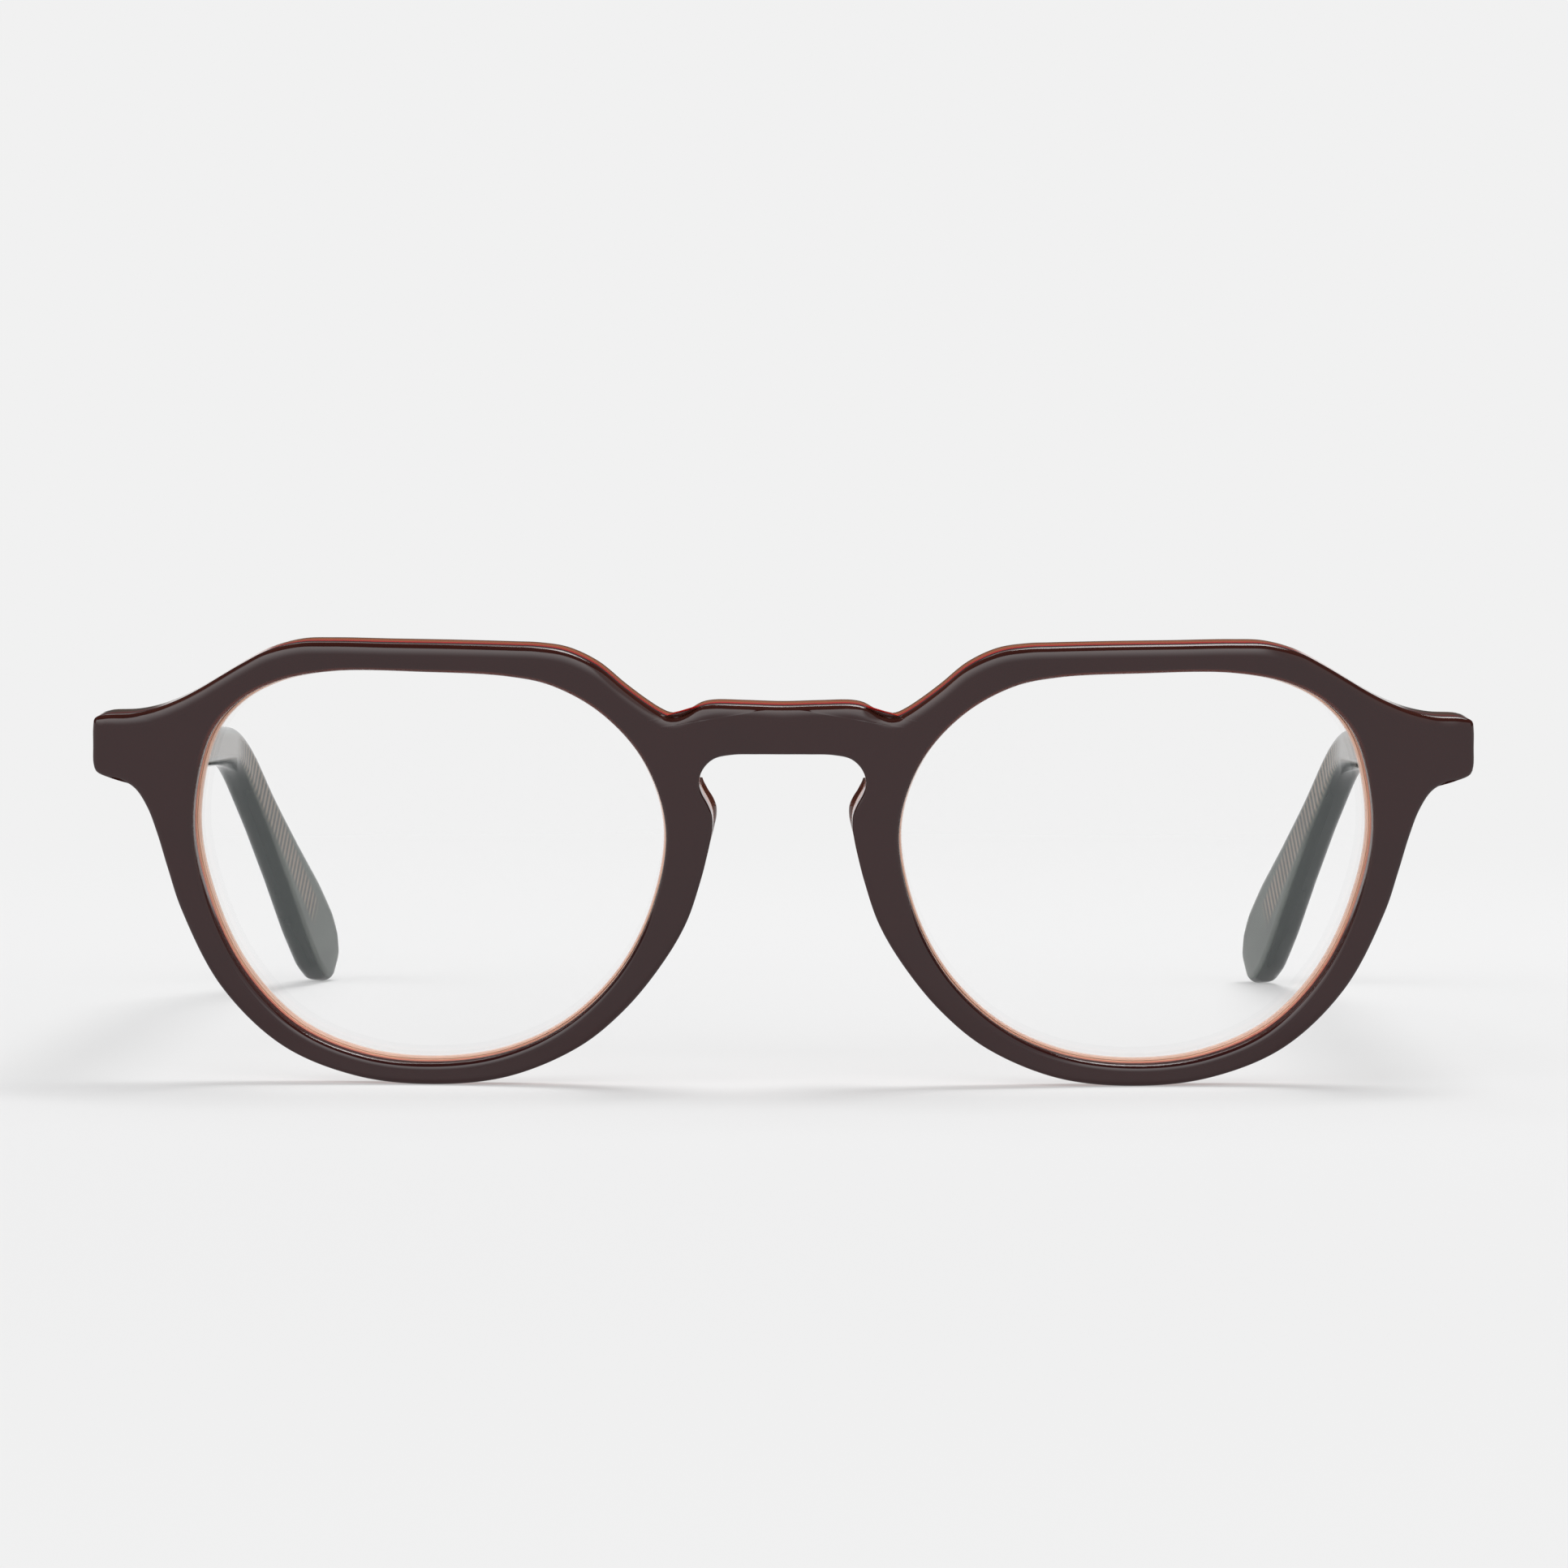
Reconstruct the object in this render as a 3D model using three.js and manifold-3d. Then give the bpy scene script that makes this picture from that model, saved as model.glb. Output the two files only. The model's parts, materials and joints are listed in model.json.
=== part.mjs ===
// Angular crown-shaped eyeglasses in three-layer acetate, open, standing on the lower rims and temple tips.
// The front is shaped flat (x across, z up, depth backward), then bent round the wearer's face.
import * as THREE from 'three';
import { mergeVertices } from 'three/addons/utils/BufferGeometryUtils.js';
import Module from 'manifold-3d';

const wasm = await Module();
wasm.setup();

// Lens box sizes, as marked on such a frame, in millimetres
const lensWidth = 48;
const lensHeight = 40.4;
const bridgeWidth = 22.5;
const templeLength = 145;

// Front: three acetate sheets with a line of adhesive between them
const frontSheet = 1.45;
const centreSheet = 0.5;
const backSheet = 2.0;
const bondLine = 0.05;
const frontBendRadius = 400;
const rimWidth = 2.2;
const bridgeBar = 5.0;
const keyholeDrop = 6.4;
const endReach = 10.1;
const endHeight = 6.6;
const frontEdgeRadius = 0.7;
const backEdgeRadius = 0.5;
const openingEdgeRadius = 0.2;

// Lens and its groove
const lensThickness = 1.5;
const lensDome = 1.2;
const grooveReach = 0.36;
const bevelHalf = 0.45;
const lensClearance = 0.12;
const lensShoulderGap = 0.12;

// Nose pads, glued to the back of the front
const padDepth = 4.2;
const padBulgeReach = 0.15;

// Temples
const shaftLength = 98;
const templeHeight = 5.6;
const templeDrop = 0.35;
const templeThickness = 4.0;
const templeEdgeRadius = 0.9;
const tipEdgeRadius = 1.6;
const bendLength = 17;
const bendAngle = 34.2;
const tipInwardAngle = 14.3;
const shaftInwardAngle = 1.1;
const pantoscopicAngle = 10.75;
const outerSetback = 0.5;
const buttGap = 0.3;

// Core wire inside each temple
const wireHeight = 2.2;
const wireThickness = 1.0;
const wireOutset = 0.3;
const wireClearance = 0.15;
const wireStart = 2.5;
const wireEndMargin = 9;

// Five-knuckle hinges
const barrelRadius = 1.3;
const knuckleHeight = 0.8;
const knuckleGap = 0.1;
const knuckleCount = 5;
const pivotSetback = 1.6;
const hingeClearance = 0.3;
const plateThickness = 1.0;
const plateProud = 0.1;
const plateClearance = 0.12;
const frontPlateWidth = 5.4;
const templePlateLength = 11;
const boreRadius = 0.7;
const shaftRadius = 0.6;
const headRadius = 1.1;
const headHeight = 0.5;
const headChamfer = 0.12;
const headGap = 0.05;
const slotWidth = 0.3;
const slotDepth = 0.25;

// Fineness of the facets, the overrun of every cut, and numbers of steps
const facetLength = 3.4;
const roundSides = 16;
const cutOverrun = 1.0;
const weldTolerance = 1e-4;
const shaftSteps = 6;
const pathParts = 6;
const hingePasses = 8;
const standPasses = 6;

// Opening for a lens: across from its nose side and up from its sill, anticlockwise from the bottom
const openingShares = [
  [0.50, 0.0], [0.648, 0.017], [0.788, 0.087], [0.899, 0.224], [0.969, 0.40],
  [1.00, 0.602], [0.962, 0.823], [0.901, 0.913], [0.816, 0.969], [0.697, 0.998],
  [0.50, 1.0], [0.33, 0.992], [0.236, 0.969], [0.132, 0.899], [0.044, 0.778],
  [0.0, 0.612], [0.027, 0.41], [0.101, 0.235], [0.216, 0.101], [0.35, 0.026],
];

// Outline of the front: each row starts with its place along the opening, counted in opening points.
// Keyhole: across in nose half widths, drop below the bridge in keyhole drops
const keyholeShares = [
  [13.72, 0, 0], [13.80, 0.22, 0], [13.90, 0.43, 0.01], [14.03, 0.583, 0.075], [14.18, 0.672, 0.235],
  [14.37, 0.704, 0.42], [14.58, 0.682, 0.595], [14.70, 0.63, 0.77], [14.82, 0.595, 0.93],
  [14.96, 0.588, 1.11], [15.16, 0.606, 1.34], [15.42, 0.638, 1.61], [15.72, 0.69, 1.98],
];
// Lower rim: width in rim widths, square to the opening
const lowerRimShares = [
  [16.05, 1.70], [16.6, 1.45], [17.3, 1.275], [18, 1.19], [19, 1.09], [20, 1.0], [21, 1.025],
  [22, 1.12], [23, 1.25], [24, 1.355], [24.5, 1.45],
];
// Endpiece: out in reaches beyond the opening, up in endpiece heights
const endpieceShares = [
  [24.76, 0.37, -0.83], [24.95, 0.466, -0.43], [25.08, 0.586, -0.15], [25.18, 0.735, -0.025],
  [25.26, 0.886, 0.018], [25.33, 0.973, 0.093], [25.40, 1.0, 0.22], [25.60, 1.0, 0.51],
  [25.78, 1.0, 0.775], [25.84, 0.984, 0.915], [25.90, 0.89, 0.975], [26.04, 0.605, 1.012],
  [26.2, 0.365, 1.10], [26.38, 0.14, 1.24],
];
// Upper rim: width in rim widths, square to the opening
const upperRimShares = [
  [26.62, 1.665], [27, 1.47], [27.5, 1.41], [28, 1.495], [28.5, 1.505], [29, 1.37], [29.6, 1.29],
  [30.3, 1.335], [31, 1.44], [31.5, 1.57], [32, 1.725], [32.5, 1.73], [33, 1.59],
];
// Notch beside the bridge: across in nose half widths, rise above the bridge in rim widths
const notchShares = [
  [33.12, 1.175, 0.085], [33.2, 1.05, -0.34], [33.25, 0.97, -0.525], [33.3, 0.89, -0.53], [33.35, 0.8, -0.34],
  [33.38, 0.702, -0.055], [33.41, 0.594, 0.062], [33.45, 0.313, 0.045], [33.5, 0, 0],
];
const bridgeTopShare = 0.925;
const endRiseShare = 0.711;
const middleStationShares = [0.36, 0.7];

// Temple: place along it, height and thickness
const templeShares = [
  [0, 1, 1], [0.10, 1, 0.98], [0.28, 0.95, 0.94], [0.46, 0.87, 0.90], [0.60, 0.77, 0.88],
  [0.68, 0.80, 0.87], [0.76, 0.91, 0.86], [0.84, 1.17, 0.85], [0.875, 1.35, 0.85], [0.91, 1.52, 0.84],
  [0.95, 1.56, 0.83], [0.975, 1.36, 0.80], [0.99, 0.95, 0.74], [0.997, 0.54, 0.60], [1, 0.24, 0.36],
];
const edgeLimitShare = 0.42;
// Places of the cross sections from the start of the bend to the tip
const tipStationShares = [
  0.06, 0.12, 0.18, 0.24, 0.30, 0.37, 0.45, 0.53, 0.61, 0.69, 0.77, 0.84, 0.90, 0.94, 0.965, 0.985, 0.995, 1,
];
// Rings on each face of a lens, from its edge to its middle
const lensRingShares = [0.75, 0.4];
// Nose pad across its width and depth, from the nose side round to the opening side
const padSectionShares = [
  [0.04, 0], [-0.02, 0.34], [0.03, 0.62], [0.20, 0.88], [0.46, 1.0], [0.72, 0.86], [0.90, 0.5], [0.97, 0],
];
const padWidthShare = 0.8;
const padFlareShare = 0.4;
// Along the pad from its top: share of its length, depth and bulge towards the nose
const padRowShares = [
  [0, 0.22, 0.1], [0.07, 0.5, 0.7], [0.15, 0.7, 1.0], [0.26, 0.88, 0.5], [0.40, 1, -0.3],
  [0.56, 0.96, -0.8], [0.72, 0.8, -0.9], [0.87, 0.54, -0.6], [1, 0.22, -0.3],
];
const padPlaceShares = [14.42, 16.3];

// Sizes worked out from those above
const frontThickness = frontSheet + centreSheet + backSheet + 2 * bondLine;
const noseHalf = bridgeWidth / 2 + grooveReach;
const openingWidth = lensWidth - 2 * grooveReach;
const openingHeight = lensHeight - 2 * grooveReach;
const templeSide = noseHalf + openingWidth;
const bridgeTop = rimWidth + openingHeight * bridgeTopShare;
const bridgeUnder = bridgeTop - bridgeBar;
const endBottom = rimWidth + openingHeight * endRiseShare;
const endMiddle = endBottom + endHeight / 2;
const frontHalf = templeSide + endReach;
const lensDepth = frontSheet + centreSheet + 2 * bondLine + backSheet / 2;
const knucklePitch = knuckleHeight + knuckleGap;
const stackHeight = knucklePitch * knuckleCount - knuckleGap;
const plateHeight = stackHeight;
const armHalf = boreRadius;
const degrees = Math.PI / 180;

// Point of the flat front carried to the bent front
function bend(x, depth, z) {
  const back = new THREE.Vector3(-x / frontBendRadius, 1, 0).normalize();
  return new THREE.Vector3(x, x * x / (2 * frontBendRadius), z).addScaledVector(back, depth);
}

// Faces gathered as loose triangles, then joined at their shared points
class Skin {
  constructor() {
    this.points = [];
  }

  triangle(a, b, c) {
    this.points.push(a, b, c);
  }

  quad(a, b, c, d) {
    this.triangle(a, b, c);
    this.triangle(a, c, d);
  }

  // Band between two rings of the same number of points
  band(first, second, closed = true) {
    const count = first.length;
    for (let i = 0; i < (closed ? count : count - 1); i++) {
      const next = (i + 1) % count;
      this.quad(first[i], second[i], second[next], first[next]);
    }
  }

  // Cap over a ring, from its middle
  cap(ring) {
    const middle = new THREE.Vector3();
    ring.forEach((point) => middle.add(point));
    middle.divideScalar(ring.length);
    ring.forEach((point, i) => this.triangle(middle, point, ring[(i + 1) % ring.length]));
  }

  // Copy of every face on the other side of the middle plane
  mirror() {
    const count = this.points.length;
    for (let i = 0; i < count; i += 3) {
      const [a, b, c] = this.points.slice(i, i + 3).map((point) => point.clone().setX(-point.x));
      this.triangle(a, c, b);
    }
  }

  geometry() {
    const loose = new THREE.BufferGeometry().setFromPoints(this.points);
    return outward(mergeVertices(loose, weldTolerance));
  }
}

// Every face pointing out of the solid
function outward(geometry) {
  const at = geometry.attributes.position;
  const index = Array.from(geometry.index.array);
  const [a, b, c] = [new THREE.Vector3(), new THREE.Vector3(), new THREE.Vector3()];
  let volume = 0;
  for (let i = 0; i < index.length; i += 3) {
    a.fromBufferAttribute(at, index[i]);
    b.fromBufferAttribute(at, index[i + 1]);
    c.fromBufferAttribute(at, index[i + 2]);
    volume += a.dot(b.cross(c));
  }
  if (volume < 0) {
    geometry.setIndex(index.reverse());
  }
  return geometry;
}

function mirrored(geometry) {
  return outward(geometry.clone().scale(-1, 1, 1));
}

// Faces joined at their shared points, without normals and texture places
function welded(geometry) {
  const bare = new THREE.BufferGeometry();
  bare.setAttribute('position', geometry.attributes.position);
  bare.setIndex(geometry.index);
  return mergeVertices(bare, weldTolerance);
}

// Solid for cutting and joining, from a closed geometry
function toSolid(geometry) {
  const merged = welded(geometry);
  return new wasm.Manifold(new wasm.Mesh({
    numProp: 3,
    vertProperties: new Float32Array(merged.attributes.position.array),
    triVerts: new Uint32Array(merged.index.array),
  }));
}

function fromSolid(solid) {
  const mesh = solid.getMesh();
  const geometry = new THREE.BufferGeometry();
  geometry.setAttribute('position', new THREE.BufferAttribute(mesh.vertProperties, 3));
  geometry.setIndex(new THREE.BufferAttribute(mesh.triVerts, 1));
  return geometry;
}

// Outline of one opening, and the direction square to it, away from its middle
const openingCurve = new THREE.CatmullRomCurve3(
  openingShares.map(([across, up]) => (
    new THREE.Vector3(noseHalf + across * openingWidth, 0, rimWidth + up * openingHeight))),
  true,
);

function openingPoint(place, out) {
  const share = (place / openingShares.length) % 1;
  const along = openingCurve.getTangent(share);
  return openingCurve.getPoint(share).add(new THREE.Vector3(along.z, 0, -along.x).multiplyScalar(out));
}

// Corner points of half the front's outline, from under the bridge round to its top
const rimRows = [
  ...keyholeShares.map(([place, across, drop]) => (
    [place, new THREE.Vector3(across * noseHalf, 0, bridgeUnder - drop * keyholeDrop)])),
  ...lowerRimShares.map(([place, width]) => [place, openingPoint(place, width * rimWidth)]),
  ...endpieceShares.map(([place, out, up]) => (
    [place, new THREE.Vector3(templeSide + out * endReach, 0, endBottom + up * endHeight)])),
  ...upperRimShares.map(([place, width]) => [place, openingPoint(place, width * rimWidth)]),
  ...notchShares.map(([place, across, rise]) => (
    [place, new THREE.Vector3(across * noseHalf, 0, bridgeTop + rise * rimWidth)])),
];

// The half outline carried one point past the middle plane at each end, so that it crosses it squarely
const rimPoints = rimRows.map((row) => row[1]);
const acrossMiddle = (point) => point.clone().setX(-point.x);
const rimCurve = new THREE.CatmullRomCurve3(
  [acrossMiddle(rimPoints[1]), ...rimPoints, acrossMiddle(rimPoints.at(-2))],
);

function rimPoint(row, inset) {
  const share = (row + 1) / (rimPoints.length + 1);
  const along = rimCurve.getTangent(share);
  const point = rimCurve.getPoint(share).add(new THREE.Vector3(-along.z, 0, along.x).multiplyScalar(inset));
  if (row === 0 || row === rimPoints.length - 1) {
    point.setX(0);
  }
  return point;
}

// Stations round the opening: each pairs a place on it with a row of the outline, or with a share of the
// middle line
function makeStations() {
  const stations = [];
  for (let row = 0; row < rimRows.length - 1; row++) {
    const length = rimPoints[row].distanceTo(rimPoints[row + 1]);
    const steps = Math.max(1, Math.round(length / facetLength));
    for (let step = 0; step < steps; step++) {
      const part = step / steps;
      const place = THREE.MathUtils.lerp(rimRows[row][0], rimRows[row + 1][0], part);
      stations.push({ place, row: row + part });
    }
  }
  stations.push({ place: rimRows.at(-1)[0], row: rimRows.length - 1 });
  const first = rimRows[0][0] + openingShares.length;
  for (const middle of middleStationShares) {
    stations.push({ place: THREE.MathUtils.lerp(rimRows.at(-1)[0], first, middle), middle });
  }
  return stations;
}
const stations = makeStations();

function openingRing(out, depth, at = stations) {
  return at.map(({ place }) => {
    const point = openingPoint(place, out);
    return bend(point.x, depth, point.z);
  });
}

function rimRing(inset, depth) {
  return stations.map(({ row, middle }) => {
    if (middle !== undefined) {
      return bend(0, depth, THREE.MathUtils.lerp(bridgeTop - inset, bridgeUnder + inset, middle));
    }
    const point = rimPoint(row, inset);
    return bend(point.x, depth, point.z);
  });
}

// Sheet of the front from its two edges, each a list of steps into the material and depths, front to back
function sheetGeometry(openingEdge, rimEdge) {
  const skin = new Skin();
  const inner = openingEdge.map(([out, depth]) => openingRing(out, depth));
  const outer = rimEdge.map(([inset, depth]) => rimRing(inset, depth));
  const walled = stations.filter(({ middle }) => middle === undefined).length;
  skin.band(inner[0], outer[0]);
  skin.band(outer.at(-1), inner.at(-1));
  for (let i = 1; i < inner.length; i++) {
    skin.band(inner[i], inner[i - 1]);
  }
  for (let i = 1; i < outer.length; i++) {
    skin.band(outer[i - 1].slice(0, walled), outer[i].slice(0, walled), false);
  }
  skin.mirror();
  return skin.geometry();
}

// Quarter round at a face, as steps in and depths from that face
function roundedEdge(radius) {
  const middle = radius * (1 - Math.SQRT1_2);
  return [[radius, 0], [middle, middle], [0, radius]];
}

function frontSheetGeometry() {
  const back = frontSheet;
  return sheetGeometry(
    [...roundedEdge(openingEdgeRadius), [0, back]],
    [...roundedEdge(frontEdgeRadius), [0, back]],
  );
}

function centreSheetGeometry() {
  const front = frontSheet + bondLine;
  return sheetGeometry([[0, front], [0, front + centreSheet]], [[0, front], [0, front + centreSheet]]);
}

function backSheetGeometry() {
  const front = frontSheet + centreSheet + 2 * bondLine;
  const fromBack = (edge) => edge.map(([step, depth]) => [step, frontThickness - depth]).reverse();
  const mouth = bevelHalf + lensClearance;
  return sheetGeometry(
    [
      [0, front],
      [0, lensDepth - mouth],
      [grooveReach + lensClearance, lensDepth],
      [0, lensDepth + mouth],
      ...fromBack(roundedEdge(openingEdgeRadius)),
    ],
    [[0, front], ...fromBack(roundedEdge(backEdgeRadius))],
  );
}

// Lens: a bevelled edge in the groove, and two faces domed alike
const lensStations = stations.filter((station, i) => i % 2 === 0);

function lensGeometry() {
  const skin = new Skin();
  const middleX = noseHalf + openingWidth / 2;
  const middleZ = rimWidth + openingHeight / 2;
  const half = lensThickness / 2;
  const edgeRing = (out, depth) => openingRing(out, depth, lensStations);
  const faceRing = (side, share) => lensStations.map(({ place }) => {
    const point = openingPoint(place, -lensShoulderGap);
    const x = THREE.MathUtils.lerp(middleX, point.x, share);
    const z = THREE.MathUtils.lerp(middleZ, point.z, share);
    return bend(x, lensDepth + side * half - lensDome * (1 - share * share), z);
  });
  const rings = [
    ...lensRingShares.toReversed().map((share) => faceRing(-1, share)),
    faceRing(-1, 1),
    edgeRing(-lensShoulderGap, lensDepth - bevelHalf),
    edgeRing(grooveReach, lensDepth),
    edgeRing(-lensShoulderGap, lensDepth + bevelHalf),
    faceRing(1, 1),
    ...lensRingShares.map((share) => faceRing(1, share)),
  ];
  skin.cap(rings[0]);
  for (let i = 1; i < rings.length; i++) {
    skin.band(rings[i - 1], rings[i]);
  }
  skin.cap(rings.at(-1).toReversed());
  return skin.geometry();
}

// Solid through a row of rings, closed at both ends
function loftGeometry(rings) {
  const skin = new Skin();
  skin.cap(rings[0].toReversed());
  for (let i = 1; i < rings.length; i++) {
    skin.band(rings[i], rings[i - 1]);
  }
  skin.cap(rings.at(-1));
  return skin.geometry();
}

// Nose pad: a fin on the back of the keyhole's flank, highest in its middle
function rowAtPlace(place) {
  const next = rimRows.findIndex((row) => row[0] > place);
  const [before, after] = [rimRows[next - 1][0], rimRows[next][0]];
  return next - 1 + (place - before) / (after - before);
}

function padGeometry() {
  const base = frontThickness + bondLine;
  const rings = padRowShares.map(([share, rise, bulge]) => {
    const place = THREE.MathUtils.lerp(padPlaceShares[0], padPlaceShares[1], share);
    const nose = rimPoint(rowAtPlace(place), backEdgeRadius);
    const lensSide = nose.clone().lerp(openingPoint(place, openingEdgeRadius), padWidthShare);
    return padSectionShares.map(([across, deep]) => {
      const point = nose.clone().lerp(lensSide, across);
      const flare = Math.sin(Math.min(1, deep / padFlareShare) * Math.PI / 2);
      const lean = (backEdgeRadius + padBulgeReach * bulge) * flare;
      return bend(point.x - lean * (1 - across), base + deep * rise * padDepth, point.z);
    });
  });
  return loftGeometry(rings);
}

// Place of the left hinge: its pivot lies inside the temple's inner face, behind the endpiece
const templeInner = frontHalf - outerSetback - templeThickness;
const pivotX = templeInner - hingeClearance - barrelRadius;
const pivotReach = frontThickness + pivotSetback;

function hingeAcross() {
  let x = pivotX;
  for (let pass = 0; pass < hingePasses; pass++) {
    x = pivotX + (x - bend(x, pivotReach, 0).x);
  }
  return x;
}
const hingeX = hingeAcross();
const pivot = bend(hingeX, pivotReach, endMiddle);
const endBack = bend(hingeX, frontThickness, endMiddle);
const endNormal = pivot.clone().sub(endBack).normalize();
const endTurn = Math.atan2(-endNormal.x, endNormal.y);

// Centre line of the left temple from its butt, in steps, with the directions across and up at each
function templeFrames() {
  const frames = [];
  const spacing = [];
  for (let i = 0; i <= shaftSteps; i++) {
    spacing.push((shaftLength - bendLength / 2) * i / shaftSteps);
  }
  for (const share of tipStationShares) {
    spacing.push(THREE.MathUtils.lerp(shaftLength - bendLength / 2, templeLength, share));
  }
  const centre = endBack.clone().setX(frontHalf - outerSetback - templeThickness / 2);
  centre.y += (centre.x - endBack.x) * Math.tan(endTurn) + buttGap;
  centre.z -= templeDrop;
  let last = 0;
  for (const along of spacing) {
    for (let part = 0; part < pathParts; part++) {
      const here = last + (along - last) * (part + 0.5) / pathParts;
      centre.addScaledVector(templeDirection(here), (along - last) / pathParts);
    }
    last = along;
    const forward = templeDirection(along);
    const across = new THREE.Vector3(forward.y, -forward.x, 0).normalize();
    frames.push({ along, centre: centre.clone(), forward, across, up: across.clone().cross(forward) });
  }
  return frames;
}

function templeDirection(along) {
  const bendStart = shaftLength - bendLength / 2;
  const turned = THREE.MathUtils.smoothstep(along, bendStart, bendStart + bendLength);
  const down = pantoscopicAngle + bendAngle * turned;
  const inward = THREE.MathUtils.lerp(shaftInwardAngle, tipInwardAngle, turned);
  const [pitch, yaw] = [down * degrees, inward * degrees];
  const level = Math.cos(pitch);
  return new THREE.Vector3(-Math.sin(yaw) * level, Math.cos(yaw) * level, -Math.sin(pitch));
}
const frames = templeFrames();

// Height and thickness of the temple at a distance from its butt
function templeSection(along) {
  const share = along / templeLength;
  let next = templeShares.findIndex((row) => row[0] >= share);
  next = Math.max(1, next);
  const [before, after] = [templeShares[next - 1], templeShares[next]];
  const part = (share - before[0]) / (after[0] - before[0]);
  const height = THREE.MathUtils.lerp(before[1], after[1], part) * templeHeight;
  const thickness = THREE.MathUtils.lerp(before[2], after[2], part) * templeThickness;
  return { height, thickness };
}

// Ring of a frame through points given across and up from its centre
function frameRing({ centre, across, up }, points) {
  return points.map(([a, u]) => centre.clone().addScaledVector(across, a).addScaledVector(up, u));
}

function roundedRectangle(width, height, radius) {
  const corners = [[1, 1, 0], [-1, 1, 1], [-1, -1, 2], [1, -1, 3]];
  return corners.flatMap(([a, u, turn]) => [0, 0.5, 1].map((part) => {
    const angle = (turn + part) * Math.PI / 2;
    const x = a * (width / 2 - radius) + radius * Math.cos(angle);
    return [x, u * (height / 2 - radius) + radius * Math.sin(angle)];
  }));
}

function rectangle(width, height, offset) {
  return [[1, 1], [-1, 1], [-1, -1], [1, -1]].map(([a, u]) => [offset + a * width / 2, u * height / 2]);
}

// First ring slid along the temple onto a plane parallel to the back of the endpiece
function mitre(ring, forward, gap) {
  return ring.map((point) => {
    const offset = point.clone().sub(endBack).dot(endNormal);
    return point.clone().addScaledVector(forward, (gap - offset) / forward.dot(endNormal));
  });
}

function templeGeometry() {
  const rings = frames.map((frame, i) => {
    const { height, thickness } = templeSection(frame.along);
    const softness = THREE.MathUtils.lerp(templeEdgeRadius, tipEdgeRadius, frame.along / templeLength);
    const radius = Math.min(softness, height * edgeLimitShare, thickness * edgeLimitShare);
    const ring = frameRing(frame, roundedRectangle(thickness, height, radius));
    return i === 0 ? mitre(ring, frame.forward, buttGap) : ring;
  });
  const solid = toSolid(loftGeometry(rings));
  return fromSolid(solid.subtract(toSolid(plateRecess())).subtract(toSolid(wireChannel())));
}

// Core wire and the channel that it lies in, which opens at the butt
function wireGeometry() {
  return loftGeometry(wireRings(wireStart, 0));
}

function wireChannel() {
  const rings = wireRings(0, wireClearance);
  const lead = frames[0].forward.clone().multiplyScalar(-cutOverrun);
  rings.unshift(rings[0].map((point) => point.clone().add(lead)));
  return loftGeometry(rings);
}

function wireRings(start, clearance) {
  const end = templeLength - wireEndMargin;
  const section = rectangle(wireThickness + 2 * clearance, wireHeight + 2 * clearance, wireOutset);
  const inside = frames.filter(({ along }) => along > start && along < end);
  return [frameAt(start), ...inside, frameAt(end + clearance)].map((frame) => frameRing(frame, section));
}

// Frame at any distance, between the two nearest
function frameAt(along) {
  const next = Math.max(1, frames.findIndex((frame) => frame.along >= along));
  const [before, after] = [frames[next - 1], frames[next]];
  const part = (along - before.along) / (after.along - before.along);
  return {
    along,
    centre: before.centre.clone().lerp(after.centre, part),
    forward: before.forward.clone().lerp(after.forward, part).normalize(),
    across: before.across.clone().lerp(after.across, part).normalize(),
    up: before.up.clone().lerp(after.up, part).normalize(),
  };
}

// Box between two corners, in a frame whose directions are given
function boxIn(origin, [right, back, up], low, high) {
  const size = high.map((value, i) => value - low[i]);
  const geometry = new THREE.BoxGeometry(...size);
  geometry.translate(...high.map((value, i) => (value + low[i]) / 2));
  const place = new THREE.Matrix4().makeBasis(right, back, up).setPosition(origin);
  return geometry.applyMatrix4(place);
}

// Hinge: knuckles stacked on the pivot, even ones on the front and odd ones on the temple
const upright = new THREE.Vector3(0, 0, 1);
const endTangent = new THREE.Vector3(endNormal.y, -endNormal.x, 0);
const endAxes = [endTangent, endNormal, upright];

function knuckleBottom(index) {
  return index * knucklePitch - stackHeight / 2;
}

function cylinderAt(radius, bottom, height) {
  const geometry = new THREE.CylinderGeometry(radius, radius, height, roundSides);
  geometry.rotateX(Math.PI / 2);
  return geometry.translate(pivot.x, pivot.y, pivot.z + bottom + height / 2);
}

function bore() {
  return toSolid(cylinderAt(boreRadius, -stackHeight / 2 - cutOverrun, stackHeight + 2 * cutOverrun));
}

function frontHingeGeometry() {
  const half = frontPlateWidth / 2;
  const inside = plateProud - plateThickness;
  const tall = plateHeight / 2;
  let solid = toSolid(boxIn(endBack, endAxes, [-half, inside, -tall], [half, plateProud, tall]));
  for (let i = 0; i < knuckleCount; i += 2) {
    const bottom = knuckleBottom(i);
    solid = solid.add(toSolid(cylinderAt(barrelRadius, bottom, knuckleHeight)));
    const arm = [[-armHalf, inside, bottom], [armHalf, pivotSetback, bottom + knuckleHeight]];
    solid = solid.add(toSolid(boxIn(endBack, endAxes, ...arm)));
  }
  return fromSolid(solid.subtract(bore()));
}

// Recess in the endpiece for the front hinge plate
function endRecess() {
  const half = frontPlateWidth / 2 + plateClearance;
  const tall = plateHeight / 2 + plateClearance;
  const deep = plateProud - plateThickness - plateClearance;
  return boxIn(endBack, endAxes, [-half, deep, -tall], [half, cutOverrun, tall]);
}

// Temple plate: along the inner face from beside the pivot
const buttFrame = frames[0];
const templeAxes = [buttFrame.across, buttFrame.forward, buttFrame.up];
const innerFace = pivot.clone().addScaledVector(buttFrame.across, hingeClearance + barrelRadius);

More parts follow.
